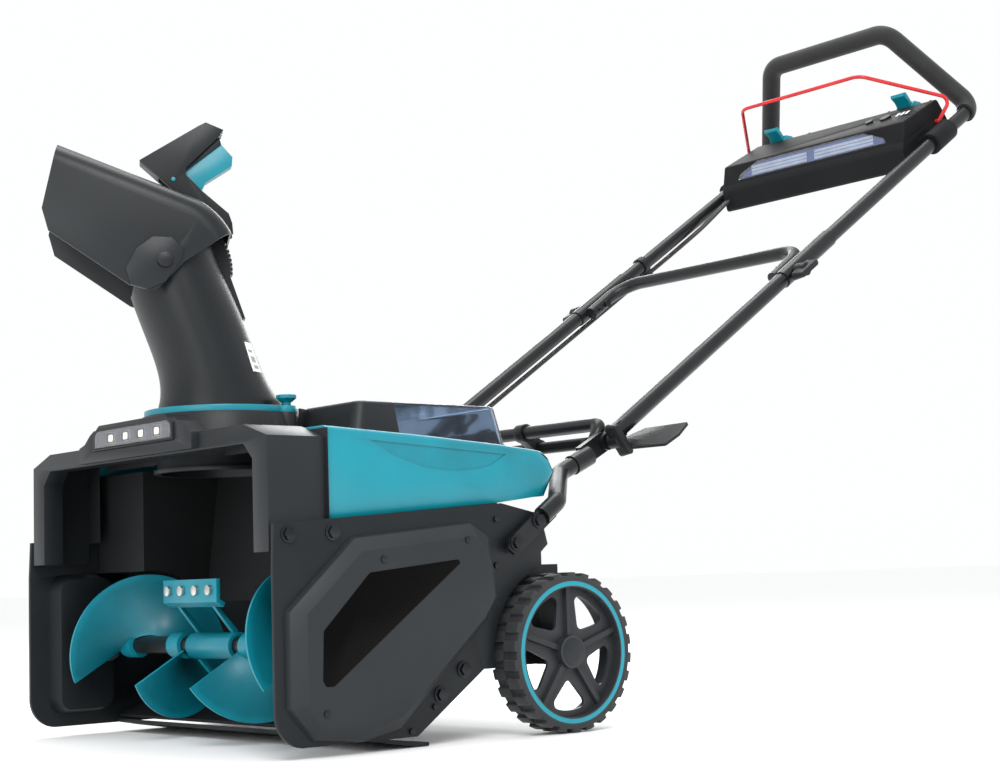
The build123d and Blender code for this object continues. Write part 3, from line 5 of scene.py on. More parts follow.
import bmesh
import bpy
from mathutils import Matrix, Vector
from mathutils.bvhtree import BVHTree
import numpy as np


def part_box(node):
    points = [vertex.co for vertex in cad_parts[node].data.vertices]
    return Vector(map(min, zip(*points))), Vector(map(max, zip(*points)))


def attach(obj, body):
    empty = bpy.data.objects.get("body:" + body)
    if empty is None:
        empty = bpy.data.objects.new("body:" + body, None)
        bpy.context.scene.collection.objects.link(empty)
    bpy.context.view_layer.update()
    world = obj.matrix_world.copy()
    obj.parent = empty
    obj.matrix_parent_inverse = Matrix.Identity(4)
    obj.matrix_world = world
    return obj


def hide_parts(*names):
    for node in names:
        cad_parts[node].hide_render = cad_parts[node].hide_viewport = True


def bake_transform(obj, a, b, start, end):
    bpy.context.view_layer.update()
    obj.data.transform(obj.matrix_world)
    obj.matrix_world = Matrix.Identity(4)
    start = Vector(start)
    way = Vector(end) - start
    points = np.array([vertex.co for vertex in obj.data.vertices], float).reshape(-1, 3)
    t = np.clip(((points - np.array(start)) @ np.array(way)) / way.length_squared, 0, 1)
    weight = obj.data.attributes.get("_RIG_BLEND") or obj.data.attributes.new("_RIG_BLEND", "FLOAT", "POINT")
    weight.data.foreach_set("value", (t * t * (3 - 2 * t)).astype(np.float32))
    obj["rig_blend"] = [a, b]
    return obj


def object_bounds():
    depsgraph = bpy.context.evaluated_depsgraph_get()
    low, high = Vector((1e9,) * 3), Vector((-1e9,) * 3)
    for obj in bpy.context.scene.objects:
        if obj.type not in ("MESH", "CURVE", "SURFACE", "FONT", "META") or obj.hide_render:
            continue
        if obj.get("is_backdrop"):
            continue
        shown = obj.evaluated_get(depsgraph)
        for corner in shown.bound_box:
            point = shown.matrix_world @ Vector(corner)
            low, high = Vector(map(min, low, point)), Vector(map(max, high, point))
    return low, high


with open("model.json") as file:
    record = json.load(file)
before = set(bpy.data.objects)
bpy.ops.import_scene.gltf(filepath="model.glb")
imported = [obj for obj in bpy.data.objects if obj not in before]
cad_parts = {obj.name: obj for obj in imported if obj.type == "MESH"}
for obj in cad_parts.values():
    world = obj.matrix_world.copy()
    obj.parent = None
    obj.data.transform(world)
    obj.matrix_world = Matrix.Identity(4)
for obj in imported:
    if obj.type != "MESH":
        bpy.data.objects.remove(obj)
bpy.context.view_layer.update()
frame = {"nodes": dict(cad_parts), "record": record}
nodes = frame["nodes"]
bodies = frame["record"]["behaviour"]["bodies"]
body_of = {node: body for body, members in bodies.items() for node in members}

MM = 0.001
HANDLE_TILT = math.radians(33.5)
CHUTE_TURN = math.radians(-29.3)
FRONT_Y = -0.65319  # the front edge of the side plates
PIVOT = Vector((0, FRONT_Y + 0.552, 0.3507))  # the handle's fold axis
CHUTE = Vector((0, FRONT_Y + 0.1154, 0))  # the chute's turning axis
MERGE_DISTANCE = 0.000004  # vertices of a CAD mesh this close together are one
FLAT_ANGLE = math.radians(0.6)  # CAD triangles that meet flatter than this become one face
BEVEL_ANGLE = math.radians(28)  # edges sharper than this are rounded over
BEVEL_SEGMENTS = 2
CREASE_ANGLE = math.radians(38)  # edges sharper than this stay crisp in the shading


# ---------------------------------------------------------------- materials
def tint(colour, factor):
    return tuple(min(1.0, channel * factor) for channel in colour[:3]) + (1.0,)


def base_material(name):
    """A new node material, with its shader, its output and object coordinates."""
    material = bpy.data.materials.new(name)
    material.use_nodes = True
    tree = material.node_tree
    shader = tree.nodes["Principled BSDF"]
    coords = tree.nodes.new("ShaderNodeTexCoord")
    return material, tree, shader, coords.outputs["Object"]


def noise(tree, coords, scale, detail=4.0, rough=0.55, stretch=None):
    """A noise texture at a scale per metre, stretched if asked."""
    node = tree.nodes.new("ShaderNodeTexNoise")
    node.inputs["Scale"].default_value = scale
    node.inputs["Detail"].default_value = detail
    node.inputs["Roughness"].default_value = rough
    if stretch:
        mapping = tree.nodes.new("ShaderNodeMapping")
        mapping.inputs["Scale"].default_value = stretch
        tree.links.new(coords, mapping.inputs["Vector"])
        coords = mapping.outputs["Vector"]
    tree.links.new(coords, node.inputs["Vector"])
    return node.outputs["Fac"]


def ramp(tree, value, low, high, start=0.3, stop=0.7):
    """Maps a value to a span between low and high."""
    node = tree.nodes.new("ShaderNodeMapRange")
    node.inputs["From Min"].default_value = start
    node.inputs["From Max"].default_value = stop
    node.inputs["To Min"].default_value = low
    node.inputs["To Max"].default_value = high
    tree.links.new(value, node.inputs["Value"])
    return node.outputs["Result"]


def colour_mix(tree, value, dark, light, start=0.35, stop=0.65):
    """A colour between dark and light, by a value."""
    node = tree.nodes.new("ShaderNodeValToRGB")
    node.color_ramp.elements[0].position = start
    node.color_ramp.elements[0].color = dark
    node.color_ramp.elements[1].position = stop
    node.color_ramp.elements[1].color = light
    tree.links.new(value, node.inputs["Fac"])
    return node.outputs["Color"]


def bump(tree, value, distance, strength=1.0, under=None):
    node = tree.nodes.new("ShaderNodeBump")
    node.inputs["Distance"].default_value = distance
    node.inputs["Strength"].default_value = strength
    tree.links.new(value, node.inputs["Height"])
    if under:
        tree.links.new(under, node.inputs["Normal"])
    return node.outputs["Normal"]


def edge_wear(tree, amount):
    """A value that is high on convex edges and low elsewhere."""
    geometry = tree.nodes.new("ShaderNodeNewGeometry")
    return ramp(tree, geometry.outputs["Pointiness"], 0.0, amount, 0.51, 0.56)


def moulded(name, colour, rough=0.5, grain=900.0, depth=0.00006, gloss=0.25, coat=0.0):
    """Moulded plastic with a fine spark-eroded grain, slow colour drift and lighter edges."""
    material, tree, shader, coords = base_material(name)
    drift = noise(tree, coords, 9.0, 5.0)
    skin = noise(tree, coords, grain, 3.0, 0.6)
    body = colour_mix(tree, drift, tint(colour, 0.86), tint(colour, 1.14))
    worn = tree.nodes.new("ShaderNodeMixRGB")
    worn.inputs["Color2"].default_value = tint(colour, 1.7)
    tree.links.new(edge_wear(tree, 0.45), worn.inputs["Fac"])
    tree.links.new(body, worn.inputs["Color1"])
    tree.links.new(worn.outputs["Color"], shader.inputs["Base Color"])
    tree.links.new(ramp(tree, skin, rough - 0.06, rough + 0.08), shader.inputs["Roughness"])
    tree.links.new(bump(tree, skin, depth, 0.7), shader.inputs["Normal"])
    shader.inputs["Specular IOR Level"].default_value = gloss
    shader.inputs["Coat Weight"].default_value = coat
    shader.inputs["Coat Roughness"].default_value = 0.25
    return material


def painted(name, colour, rough=0.38, metallic=0.0, peel=220.0, chips=0.35, gloss=0.5):
    """Powder-coated metal: soft orange peel, faint dust and rubbed edges."""
    material, tree, shader, coords = base_material(name)
    drift = noise(tree, coords, 14.0, 6.0)
    skin = noise(tree, coords, peel, 2.0)
    fine = noise(tree, coords, peel * 9, 2.0)
    body = colour_mix(tree, drift, tint(colour, 0.85), tint(colour, 1.15))
    worn = tree.nodes.new("ShaderNodeMixRGB")
    worn.inputs["Color2"].default_value = tint(colour, 2.0)
    tree.links.new(edge_wear(tree, chips), worn.inputs["Fac"])
    tree.links.new(body, worn.inputs["Color1"])
    tree.links.new(worn.outputs["Color"], shader.inputs["Base Color"])
    tree.links.new(ramp(tree, drift, rough - 0.05, rough + 0.08), shader.inputs["Roughness"])
    first = bump(tree, skin, 0.00003, 0.4)
    tree.links.new(bump(tree, fine, 0.00001, 0.5, first), shader.inputs["Normal"])
    shader.inputs["Metallic"].default_value = metallic
    shader.inputs["Specular IOR Level"].default_value = gloss
    return material


def bare_metal(name, colour, rough=0.3, stretch=(1, 40, 40)):
    """Plated or brushed metal with fine directional scratches."""
    material, tree, shader, coords = base_material(name)
    scratch = noise(tree, coords, 60.0, 6.0, 0.7, stretch)
    drift = noise(tree, coords, 25.0, 4.0)
    plating = colour_mix(tree, drift, tint(colour, 0.8), tint(colour, 1.1))
    tree.links.new(plating, shader.inputs["Base Color"])
    tree.links.new(ramp(tree, scratch, rough - 0.1, rough + 0.15), shader.inputs["Roughness"])
    tree.links.new(bump(tree, scratch, 0.00005, 0.5), shader.inputs["Normal"])
    shader.inputs["Metallic"].default_value = 1.0
    return material


def rubber(name, colour, rough=0.72, pores=500.0, depth=0.0002):
    """Rubber or foam: dull, with small pores and a dusty tone."""
    material, tree, shader, coords = base_material(name)
    pore = tree.nodes.new("ShaderNodeTexVoronoi")
    pore.inputs["Scale"].default_value = pores
    tree.links.new(coords, pore.inputs["Vector"])
    dust = noise(tree, coords, 30.0, 6.0)
    body = colour_mix(tree, dust, tint(colour, 0.8), tint(colour, 1.3))
    tree.links.new(body, shader.inputs["Base Color"])
    tree.links.new(ramp(tree, dust, rough - 0.06, rough + 0.1), shader.inputs["Roughness"])
    tree.links.new(bump(tree, pore.outputs["Distance"], depth, 0.6), shader.inputs["Normal"])
    shader.inputs["Sheen Weight"].default_value = 0.15
    return material


def clear_plastic(name, colour, rough=0.06, see_through=0.9, ior=1.49):
    """Tinted or clear polycarbonate with faint handling marks."""
    material, tree, shader, coords = base_material(name)
    marks = noise(tree, coords, 40.0, 6.0, 0.65)
    body = colour_mix(tree, marks, tint(colour, 0.92), tint(colour, 1.05))
    tree.links.new(body, shader.inputs["Base Color"])
    tree.links.new(ramp(tree, marks, rough, rough + 0.08), shader.inputs["Roughness"])
    shader.inputs["Transmission Weight"].default_value = see_through
    shader.inputs["IOR"].default_value = ior
    return material


def glowing(name, colour, strength):
    """A lit or unlit LED with a fine phosphor grid. Where it is used for the front light's LEDs, its glow is
    a painted warm highlight.
    """
    material, tree, shader, coords = base_material(name)
    grid = tree.nodes.new("ShaderNodeTexVoronoi")
    grid.inputs["Scale"].default_value = 420.0
    tree.links.new(coords, grid.inputs["Vector"])
    glow = colour_mix(tree, grid.outputs["Distance"], tint(colour, 1.0), tint(colour, 0.75), 0.2, 0.8)
    tree.links.new(glow, shader.inputs["Base Color"])
    tree.links.new(glow, shader.inputs["Emission Color"])
    shader.inputs["Emission Strength"].default_value = strength
    shader.inputs["Roughness"].default_value = 0.25
    return material


TEAL = (0.0005, 0.178, 0.232)
GREY = (0.009, 0.011, 0.013)
BLACK = (0.009, 0.0095, 0.0105)

M = {
    "teal_plastic": moulded("teal_plastic", TEAL, 0.33, 700.0, 0.00003, 0.4, 0.1),
    "teal_paint": painted("teal_paint", (0.001, 0.150, 0.200), 0.36),
    "grey_plastic": moulded("grey_plastic", GREY, 0.42, gloss=0.3),
    "chute_plastic": moulded("chute_plastic", (0.0065, 0.0085, 0.0100), 0.36, 620.0, 0.00003, 0.3),
    "black_plastic": moulded("black_plastic", BLACK, 0.42),
    "inner_plastic": moulded("inner_plastic", (0.008, 0.0085, 0.009), 0.55, gloss=0.25),
    "plate_paint": painted("plate_paint", (0.0055, 0.0075, 0.0090), 0.45, gloss=0.25),
    "cover_plastic": moulded("cover_plastic", (0.016, 0.0190, 0.0215), 0.5),
    "tube_paint": painted("tube_paint", (0.006, 0.007, 0.008), 0.3, chips=0.0, gloss=0.35),
    "red_paint": painted("red_paint", (0.55, 0.012, 0.016), 0.28),
    "zinc": bare_metal("zinc", (0.62, 0.61, 0.58), 0.32),
    "dark_steel": bare_metal("dark_steel", (0.06, 0.06, 0.062), 0.4),
    "black_bolt": bare_metal("black_bolt", (0.035, 0.036, 0.04), 0.38),
    "tyre_rubber": rubber("tyre_rubber", (0.009, 0.0105, 0.012), 0.7, 900.0, 0.00008),
    "foam": rubber("foam", (0.006, 0.0065, 0.007), 0.75, 1500.0, 0.0001),
    "cable": rubber("cable", (0.010, 0.010, 0.011), 0.5, 800.0, 0.00003),
    "smoke": clear_plastic("smoke", (0.36, 0.44, 0.54), 0.03, 0.97, 1.2),
    "console_plastic": moulded("console_plastic", (0.008, 0.0085, 0.0095), 0.6, gloss=0.12),
    "blue_tint": moulded("blue_tint", (0.035, 0.075, 0.30), 0.35, 500.0, 0.00002),
    "lens": clear_plastic("lens", (0.86, 0.90, 0.97), 0.04, 0.95),
    # the front LEDs' glow is painted light: it stands in for their small warm highlights
    "led": glowing("led", (1.0, 0.93, 0.80), 1.1),
    "diffuser": glowing("diffuser", (0.62, 0.68, 0.78), 0.12),
    "reflector_dark": bare_metal("reflector_dark", (0.16, 0.16, 0.17), 0.25),
    "rim_plastic": moulded("rim_plastic", (0.022, 0.024, 0.027), 0.4),
    "badge": moulded("badge", (0.0008, 0.0008, 0.0009), 0.22, 300.0, 0.000003, 0.06),
    "label": moulded("label", (0.78, 0.78, 0.76), 0.5, 400.0, 0.00001),
    "print_grey": moulded("print_grey", (0.30, 0.30, 0.30), 0.5, 400.0, 0.00001),
    "battery_teal": moulded("battery_teal", (0.0, 0.30, 0.36), 0.4),
    "battery_white": moulded("battery_white", (0.65, 0.68, 0.70), 0.4),
}

NODE_MATERIALS = {
    "plate_paint": ["side_plate_left", "side_plate_right", "scraper_blade"],
    "grey_plastic": ["upper_frame", "lid_front_trim"],
    "rim_plastic": ["wheel_rim_left", "wheel_rim_right"],
    "console_plastic": ["console_lower", "console_upper"],
    "inner_plastic": ["auger_housing", "motor_housing", "battery_bay"],
    "cover_plastic": ["drive_cover"],
    "chute_plastic": ["chute_tube", "deflector_hood", "hood_caps", "deflector_handle"],
    "black_plastic": [
        "front_light_housing", "pivot_knob_left", "pivot_knob_right",
        "joint_knob_left", "joint_knob_right", "handle_clips", "cleanout_tool", "control_unit",
        "power_button", "light_button", "battery_packs",
    ],
    "teal_plastic": [
        "rear_cover", "chute_ring", "chute_knob", "deflector_trigger", "lever_left", "lever_right",
    ],
    "teal_paint": ["auger_flights", "paddles"],
    "tube_paint": [
        "lower_bars", "lower_tubes", "handle_loop", "mid_cross_tube", "low_cross_tube", "auger_shaft",
    ],
    "zinc": ["auger_bolts", "auger_bearings", "auger_pulley", "drive_motor"],
    "dark_steel": ["wheel_axle", "motor_rotor"],
    "black_bolt": ["chassis_fasteners", "handle_bolts", "hood_pivots"],
    "red_paint": ["safety_bail"],
    "tyre_rubber": ["tyre_left", "tyre_right"],
    "foam": ["foam_grip"],
    "cable": ["drive_belt", "control_cables"],
    "smoke": ["battery_lid"],
    "lens": ["front_light_lens", "console_lens"],
}


def dress(thing, material):
    """Gives a piece one material and no other."""
    thing.data.materials.clear()
    thing.data.materials.append(material)


for key, names in NODE_MATERIALS.items():
    for name in names:
        dress(nodes[name], M[key])


# ---------------------------------------------------------------- rounded edges on the CAD pieces
def mesh_piece(name, mesh, body, material):
    """A new piece with a mesh and a material, riding on a body."""
    piece = bpy.data.objects.new(name, mesh)
    bpy.context.scene.collection.objects.link(piece)
    dress(piece, material)
    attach(piece, body)
    return piece


def smooth_by_angle(mesh, angle):
    """Smooth shading, with edges sharper than angle kept crisp."""
    work = bmesh.new()
    work.from_mesh(mesh)
    for face in work.faces:
        face.smooth = True
    for edge in work.edges:
        edge.smooth = len(edge.link_faces) != 2 or edge.calc_face_angle(0) < angle
    work.to_mesh(mesh)
    work.free()


def soften(node, width):
    """A copy of a CAD piece whose edges are rounded over by width, if any, shown in its place."""
    source = nodes[node]
    mesh = source.data.copy()
    work = bmesh.new()
    work.from_mesh(mesh)
    bmesh.ops.remove_doubles(work, verts=work.verts, dist=MERGE_DISTANCE)
    if width:
        bmesh.ops.dissolve_limit(work, angle_limit=FLAT_ANGLE, verts=work.verts, edges=work.edges)
    work.to_mesh(mesh)
    work.free()
    for attribute in [a.name for a in mesh.attributes if a.name.startswith("custom_normal")]:
        mesh.attributes.remove(mesh.attributes[attribute])
    piece = mesh_piece(node + "_rounded", mesh, body_of[node], source.data.materials[0])
    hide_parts(node)
    if not width:
        smooth_by_angle(mesh, CREASE_ANGLE)
        return
    bevel = piece.modifiers.new("edges", "BEVEL")
    bevel.width = width
    bevel.segments = BEVEL_SEGMENTS
    bevel.limit_method = "ANGLE"
    bevel.angle_limit = BEVEL_ANGLE
    bevel.use_clamp_overlap = True
    bevel.miter_outer = "MITER_ARC"
    bevel.harden_normals = False
    deps = bpy.context.evaluated_depsgraph_get()
    final = bpy.data.meshes.new_from_object(piece.evaluated_get(deps))
    piece.modifiers.clear()
    piece.data = final
    smooth_by_angle(final, CREASE_ANGLE)


# the width of the rounding in metres, and the pieces that have it
ROUNDED = {
    0.0016: [
        "upper_frame", "rear_cover", "drive_cover", "deflector_handle", "deflector_hood", "console_lower",
        "console_upper",
    ],
    0.0010: [
        "side_plate_left", "side_plate_right", "front_light_housing", "lid_front_trim",
        "deflector_trigger", "chute_knob", "chute_ring", "pivot_knob_left", "pivot_knob_right",
        "joint_knob_left", "joint_knob_right", "tyre_left", "tyre_right", "handle_clips",
    ],
    0.0006: ["paddles", "chassis_fasteners", "handle_bolts", "cleanout_tool", "hood_pivots", "auger_bolts"],
}
# tubes, glazing and the like, and the flights and rims, whose shading a bevel spoils: smooth only
SMOOTHED = [
    "auger_flights", "auger_shaft", "auger_housing", "chute_tube", "lower_bars", "lower_tubes",
    "handle_loop", "foam_grip", "mid_cross_tube", "low_cross_tube", "safety_bail", "wheel_axle",
    "power_button", "light_button", "battery_packs", "wheel_rim_left", "wheel_rim_right", "battery_lid",
    "console_lens", "front_light_lens", "drive_belt", "auger_pulley", "scraper_blade", "motor_housing",
]
for width, names in ROUNDED.items():
    for name in names:
        soften(name, width)
for name in SMOOTHED:
    soften(name, 0)

# the fold knobs stand with their wings across the tubes
KNOB_TURN = math.radians(-85)
place = Matrix.Translation(PIVOT)
across_tube = place @ Matrix.Rotation(KNOB_TURN, 4, "X") @ place.inverted()
for side in ("left", "right"):
    bpy.data.objects[f"pivot_knob_{side}_rounded"].data.transform(across_tube)


# ---------------------------------------------------------------- small helpers for added pieces
def lathe(name, profile, centre, axis, material, body, steps=96):
    """A turned piece: profile points (along axis, radius) in metres, spun about the axis at centre."""
    along = Vector(axis).normalized()
    aside = along.orthogonal().normalized()
    third = along.cross(aside)
    vertices, faces = [], []
    for step in range(steps):
        turn = 2 * math.pi * step / steps
        outward = aside * math.cos(turn) + third * math.sin(turn)
        vertices += [Vector(centre) + along * a + outward * r for a, r in profile]
    count = len(profile)
    for step in range(steps):
        here, after = step * count, (step + 1) % steps * count
        for i in range(count):
            j = (i + 1) % count
            faces.append((here + i, here + j, after + j, after + i))
    mesh = bpy.data.meshes.new(name)
    mesh.from_pydata(vertices, [], faces)
    work = bmesh.new()
    work.from_mesh(mesh)
    bmesh.ops.remove_doubles(work, verts=work.verts, dist=0.0000005)
    bmesh.ops.recalc_face_normals(work, faces=work.faces)
    work.to_mesh(mesh)
    work.free()
    smooth_by_angle(mesh, math.radians(40))
    return mesh_piece(name, mesh, body, material)


THROUGH = 0.95  # cosine: an edge as near to a unit normal as this runs through the plate
RIM_ANGLE = 0.6  # radians: edges bent more than this are rounded over


def slab(name, corners, normal, thickness, material, body, bevel=0.0004, round_by=0.0):
    """A plate through its corners, thickened along normal, with rounded rims.

    Its corners are rounded too where round_by is given with a normal of unit length."""
    work = bmesh.new()
    base = [work.verts.new(corner) for corner in corners]
    face = work.faces.new(base)
    work.normal_update()
    if face.normal.dot(Vector(normal)) > 0:
        face.normal_flip()
    top = bmesh.ops.extrude_face_region(work, geom=[face])
    moved = [g for g in top["geom"] if isinstance(g, bmesh.types.BMVert)]
    bmesh.ops.translate(work, verts=moved, vec=Vector(normal).normalized() * thickness)
    bmesh.ops.recalc_face_normals(work, faces=work.faces)
    if round_by:
        through = []
        for edge in work.edges:
            along = (edge.verts[0].co - edge.verts[1].co).normalized()
            if abs(along.dot(Vector(normal))) > THROUGH:
                through.append(edge)
        bmesh.ops.bevel(work, geom=through, offset=round_by, segments=6, profile=0.5, affect="EDGES")
    rims = [edge for edge in work.edges if edge.calc_face_angle(0) > RIM_ANGLE]
    bmesh.ops.bevel(
        work, geom=rims, offset=bevel, segments=2, profile=0.5, affect="EDGES", clamp_overlap=True,
    )
    mesh = bpy.data.meshes.new(name)
    work.to_mesh(mesh)
    work.free()
    smooth_by_angle(mesh, math.radians(35))
    return mesh_piece(name, mesh, body, material)


def station(x, y, z):
    """A point at x across, y behind the side plates' front edge and z up, given in millimetres."""
    return Vector((x * MM, FRONT_Y + y * MM, z * MM))


def rectangle(x0, z0, x1, z1, y):
    """The corners of an upright rectangle that faces the front, in millimetres."""
    return [station(x0, y, z0), station(x1, y, z0), station(x1, y, z1), station(x0, y, z1)]


def on_handle(x, s, n=0.0):
    """A point on the handle, s up the tubes from the fold axis and n square to them, in millimetres."""
    along = Vector((0, math.cos(HANDLE_TILT), math.sin(HANDLE_TILT)))
    square = Vector((0, -math.sin(HANDLE_TILT), math.cos(HANDLE_TILT)))
    return Vector((x * MM, PIVOT.y, PIVOT.z)) + along * s * MM + square * n * MM


def on_chute(back, z, across=0.0):
    """A point of the turned chute's side view, in millimetres."""
    aside = Vector((math.cos(CHUTE_TURN), math.sin(CHUTE_TURN), 0))
    behind = Vector((-math.sin(CHUTE_TURN), math.cos(CHUTE_TURN), 0))
    foot = Vector((CHUTE.x, CHUTE.y, 0))
    return foot + aside * across * MM + behind * back * MM + Vector((0, 0, z * MM))


# ---------------------------------------------------------------- wheels: teal ring and hub cap
for side, sign in (("left", 1), ("right", -1)):
    low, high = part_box("tyre_" + side)
    axle = (low + high) / 2
    face = Vector((high.x if sign > 0 else low.x, axle.y, axle.z))
    body = "wheel_" + side
    ring = [(-0.0035, 0.0762), (0.0, 0.0772), (0.0003, 0.0790), (0.0, 0.0824), (-0.0035, 0.0832)]
    lathe("trim_ring_" + side, ring, face, (sign, 0, 0), M["teal_plastic"], body, 160)
    cap = [
        (-0.002, 0.0001), (-0.0006, 0.0001), (-0.0008, 0.011), (-0.0018, 0.0165), (-0.004, 0.0187),
        (-0.007, 0.019), (-0.007, 0.0001),
    ]
    lathe("hub_cap_" + side, cap, face, (sign, 0, 0), M["grey_plastic"], body)

# ---------------------------------------------------------------- dark sheets behind the upper frame, standing in for the shade inside it: painted shade
SHADE_SHEET_Y = 77.8
SHADE_SHEETS = {  # low x and z, high x and z
    "left": (236, 244, 274, 350),
    "right": (-274, 244, -236, 350),
    "top": (-214, 334, 214, 355),
}
# each sheet is painted shade: a dark plate put where only shadow falls behind the frame
for name, span in SHADE_SHEETS.items():
    shade_sheet = rectangle(*span, SHADE_SHEET_Y)
    slab(f"frame_shade_sheet_{name}", shade_sheet, (0, -1, 0), 0.0006, M["inner_plastic"], "chassis", 0.0001)

# ---------------------------------------------------------------- plain badge on the drive cover
badge_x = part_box("drive_cover")[1].x / MM
badge = [
    station(badge_x, y, z)
    for y, z in ((112, 192), (235, 204), (238, 200), (62, 74), (52, 74), (48, 80), (50, 132))
]
slab("side_badge", badge, (1, 0, 0), 0.0008, M["badge"], "chassis", 0.0003, 0.002)

# ---------------------------------------------------------------- front light: LEDs in dark cups, their glow a painted warm highlight
LIGHT_Y, LIGHT_Z = -3.0, 362
LIGHT_PARTS = (  # name, half width, half height and height above the recess, in millimetres, and material
    ("cup", 10.5, 7.5, 0.4, "reflector_dark"),
    ("led", 5, 4, 0.9, "led"),
)
for x in (-52, -17, 19, 55):
    for part, wide, tall, proud, material in LIGHT_PARTS:
        face = rectangle(x - wide, LIGHT_Z - tall, x + wide, LIGHT_Z + tall, LIGHT_Y)
        name = f"front_{part}_{x + 60}"
        slab(name, face, (0, -1, 0), proud * MM, M[material], "chassis", 0.0002, 0.0015)


# ---------------------------------------------------------------- plain label and bars on the chute
CHUTE_MIDDLE, CHUTE_LEAN = -12, 0.34  # the tube's middle at z 440, and how far it leans forward with z
OUTSIDE = 110  # a place this far from the tube's middle is clear of its wall


def wrapped(name, low, high, lift, material, steps=10):
    """A thin patch on the chute, from low to high: each is z, first angle and last angle round it."""
    source = nodes["chute_tube"].data
    tree = BVHTree.FromPolygons([v.co for v in source.vertices], [p.vertices for p in source.polygons])
    outer, inner, faces = [], [], []
    for i in range(steps + 1):
        for j in range(steps + 1):
            z, first, last = (low[k] + (high[k] - low[k]) * j / steps for k in range(3))
            turn = math.radians(first + (last - first) * i / steps)
            middle = CHUTE_MIDDLE - (z - 440) * CHUTE_LEAN
            start = on_chute(middle + OUTSIDE * math.sin(turn), z, OUTSIDE * math.cos(turn))
            place, normal = tree.ray_cast(start, on_chute(middle, z) - start)[:2]
            outer.append(place + normal * lift)
            inner.append(place - normal * 0.0002)
    row = steps + 1
    count = row * row
    for i in range(steps):
        for j in range(steps):
            a = i * row + j
            faces.append((a, a + 1, a + row + 1, a + row))
            faces.append((count + a, count + a + row, count + a + row + 1, count + a + 1))
    border = list(range(row)) + [i * row + steps for i in range(1, row)]
    border += [steps * row + j for j in range(steps - 1, -1, -1)]
    border += [i * row for i in range(steps - 1, 0, -1)]
    for a, b in zip(border, border[1:] + border[:1]):
        faces.append((a, b, count + b, count + a))
    mesh = bpy.data.meshes.new(name)
    mesh.from_pydata(outer + inner, [], faces)
    work = bmesh.new()
    work.from_mesh(mesh)
    bmesh.ops.recalc_face_normals(work, faces=work.faces)
    work.to_mesh(mesh)
    work.free()
    smooth_by_angle(mesh, math.radians(50))
    mesh_piece(name, mesh, "chute", material)


wrapped("chute_label", (436, 42, 60), (472, 46, 63), 0.0005, M["label"])
for z, height in ((440, 4), (448, 7), (460, 3)):
    wrapped(f"chute_label_bar_{z}", (z, 46.5, 56), (z + height, 47, 56.5), 0.0008, M["print_grey"])

# ---------------------------------------------------------------- console: light panels and indicators
TINT_Y, PANEL_Y = 1256.9, 1256.6  # the tint and, in front of it, the light strips
tint_outline = [(-150, 849), (-146, 856), (-110, 870), (110, 870), (146, 856), (150, 849)]
tint_face = [station(x, TINT_Y, z) for x, z in tint_outline]
slab("console_tint", tint_face, (0, -1, 0), 0.0002, M["blue_tint"], "handle", 0.00005)
for name, x0, x1 in (("left", 8, 128), ("right", -128, -8)):
    for row, (z0, z1) in enumerate(((850.5, 855), (856, 860.5), (861.5, 866))):
        panel = rectangle(x0, z0, x1, z1, PANEL_Y)
        slab(f"console_light_{name}_{row}", panel, (0, -1, 0), 0.0002, M["diffuser"], "handle", 0.00005)
for mark in (0, 1, 2):
    x = 168 - 9 * mark
    chip = [on_handle(x + a * 2.4, 922 + b * 6, 48.2) for a, b in ((-1, -1), (1, -1), (1, 1), (-1, 1))]
    square = on_handle(0, 0, 1) - on_handle(0, 0, 0)
    slab(f"indicator_{mark}", chip, square, 0.0006, M["label"], "handle", 0.0001)

# ---------------------------------------------------------------- levers: a low flap with an upright tab
FLAP = [  # up the tubes from the fold axis, and square to them
    (985.5, 30), (985.5, 39), (996, 43), (1010, 34), (1014, 20), (1009, 19), (1003, 28), (993, 30),
]
TAB = [(985, 36), (984, 50), (979, 60), (981, 65), (988, 63), (991, 52), (993, 38)]
TAB_INSET = 3  # the tab is this much narrower than the flap at each side
for side, x0, x1 in (("left", 104, 136), ("right", -168, -136)):
    body = "lever_" + side
    flap = [on_handle(x0, *point) for point in FLAP]
    tab = [on_handle(x0 + TAB_INSET, *point) for point in TAB]
    width = (x1 - x0) * MM
    low_flap = slab(f"lever_flap_{side}", flap, (1, 0, 0), width, M["teal_plastic"], body, 0.0008)
    slab(f"lever_tab_{side}", tab, (1, 0, 0), width - 2 * TAB_INSET * MM, M["teal_plastic"], body, 0.0008)
    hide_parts("lever_" + side)


# ---------------------------------------------------------------- control cables, bending with the fold
def fillet_route(points, step=0.006):
    """Evenly spaced points along straight runs joined by arcs as large as the runs allow."""
    path = [points[0]]
    for before, here, after in zip(points, points[1:], points[2:]):
        into, out = here - before, after - here
        turn = into.angle(out)
        reach = min(0.45 * min(into.length, out.length), 0.4 * math.tan(turn / 2))
        radius = reach / math.tan(turn / 2)
        first, last = here - into.normalized() * reach, here + out.normalized() * reach
        normal = into.cross(out).normalized()
        centre = first + normal.cross(into.normalized()) * radius
        for k in range(13):
            path.append(centre + Matrix.Rotation(turn * k / 12, 3, normal) @ (first - centre))
        path[-1] = last
    path.append(points[-1])
    even = [path[0]]
    for a, b in zip(path, path[1:]):
        parts = max(1, round((b - a).length / step))
        even += [a.lerp(b, k / parts) for k in range(1, parts + 1)]
    return even


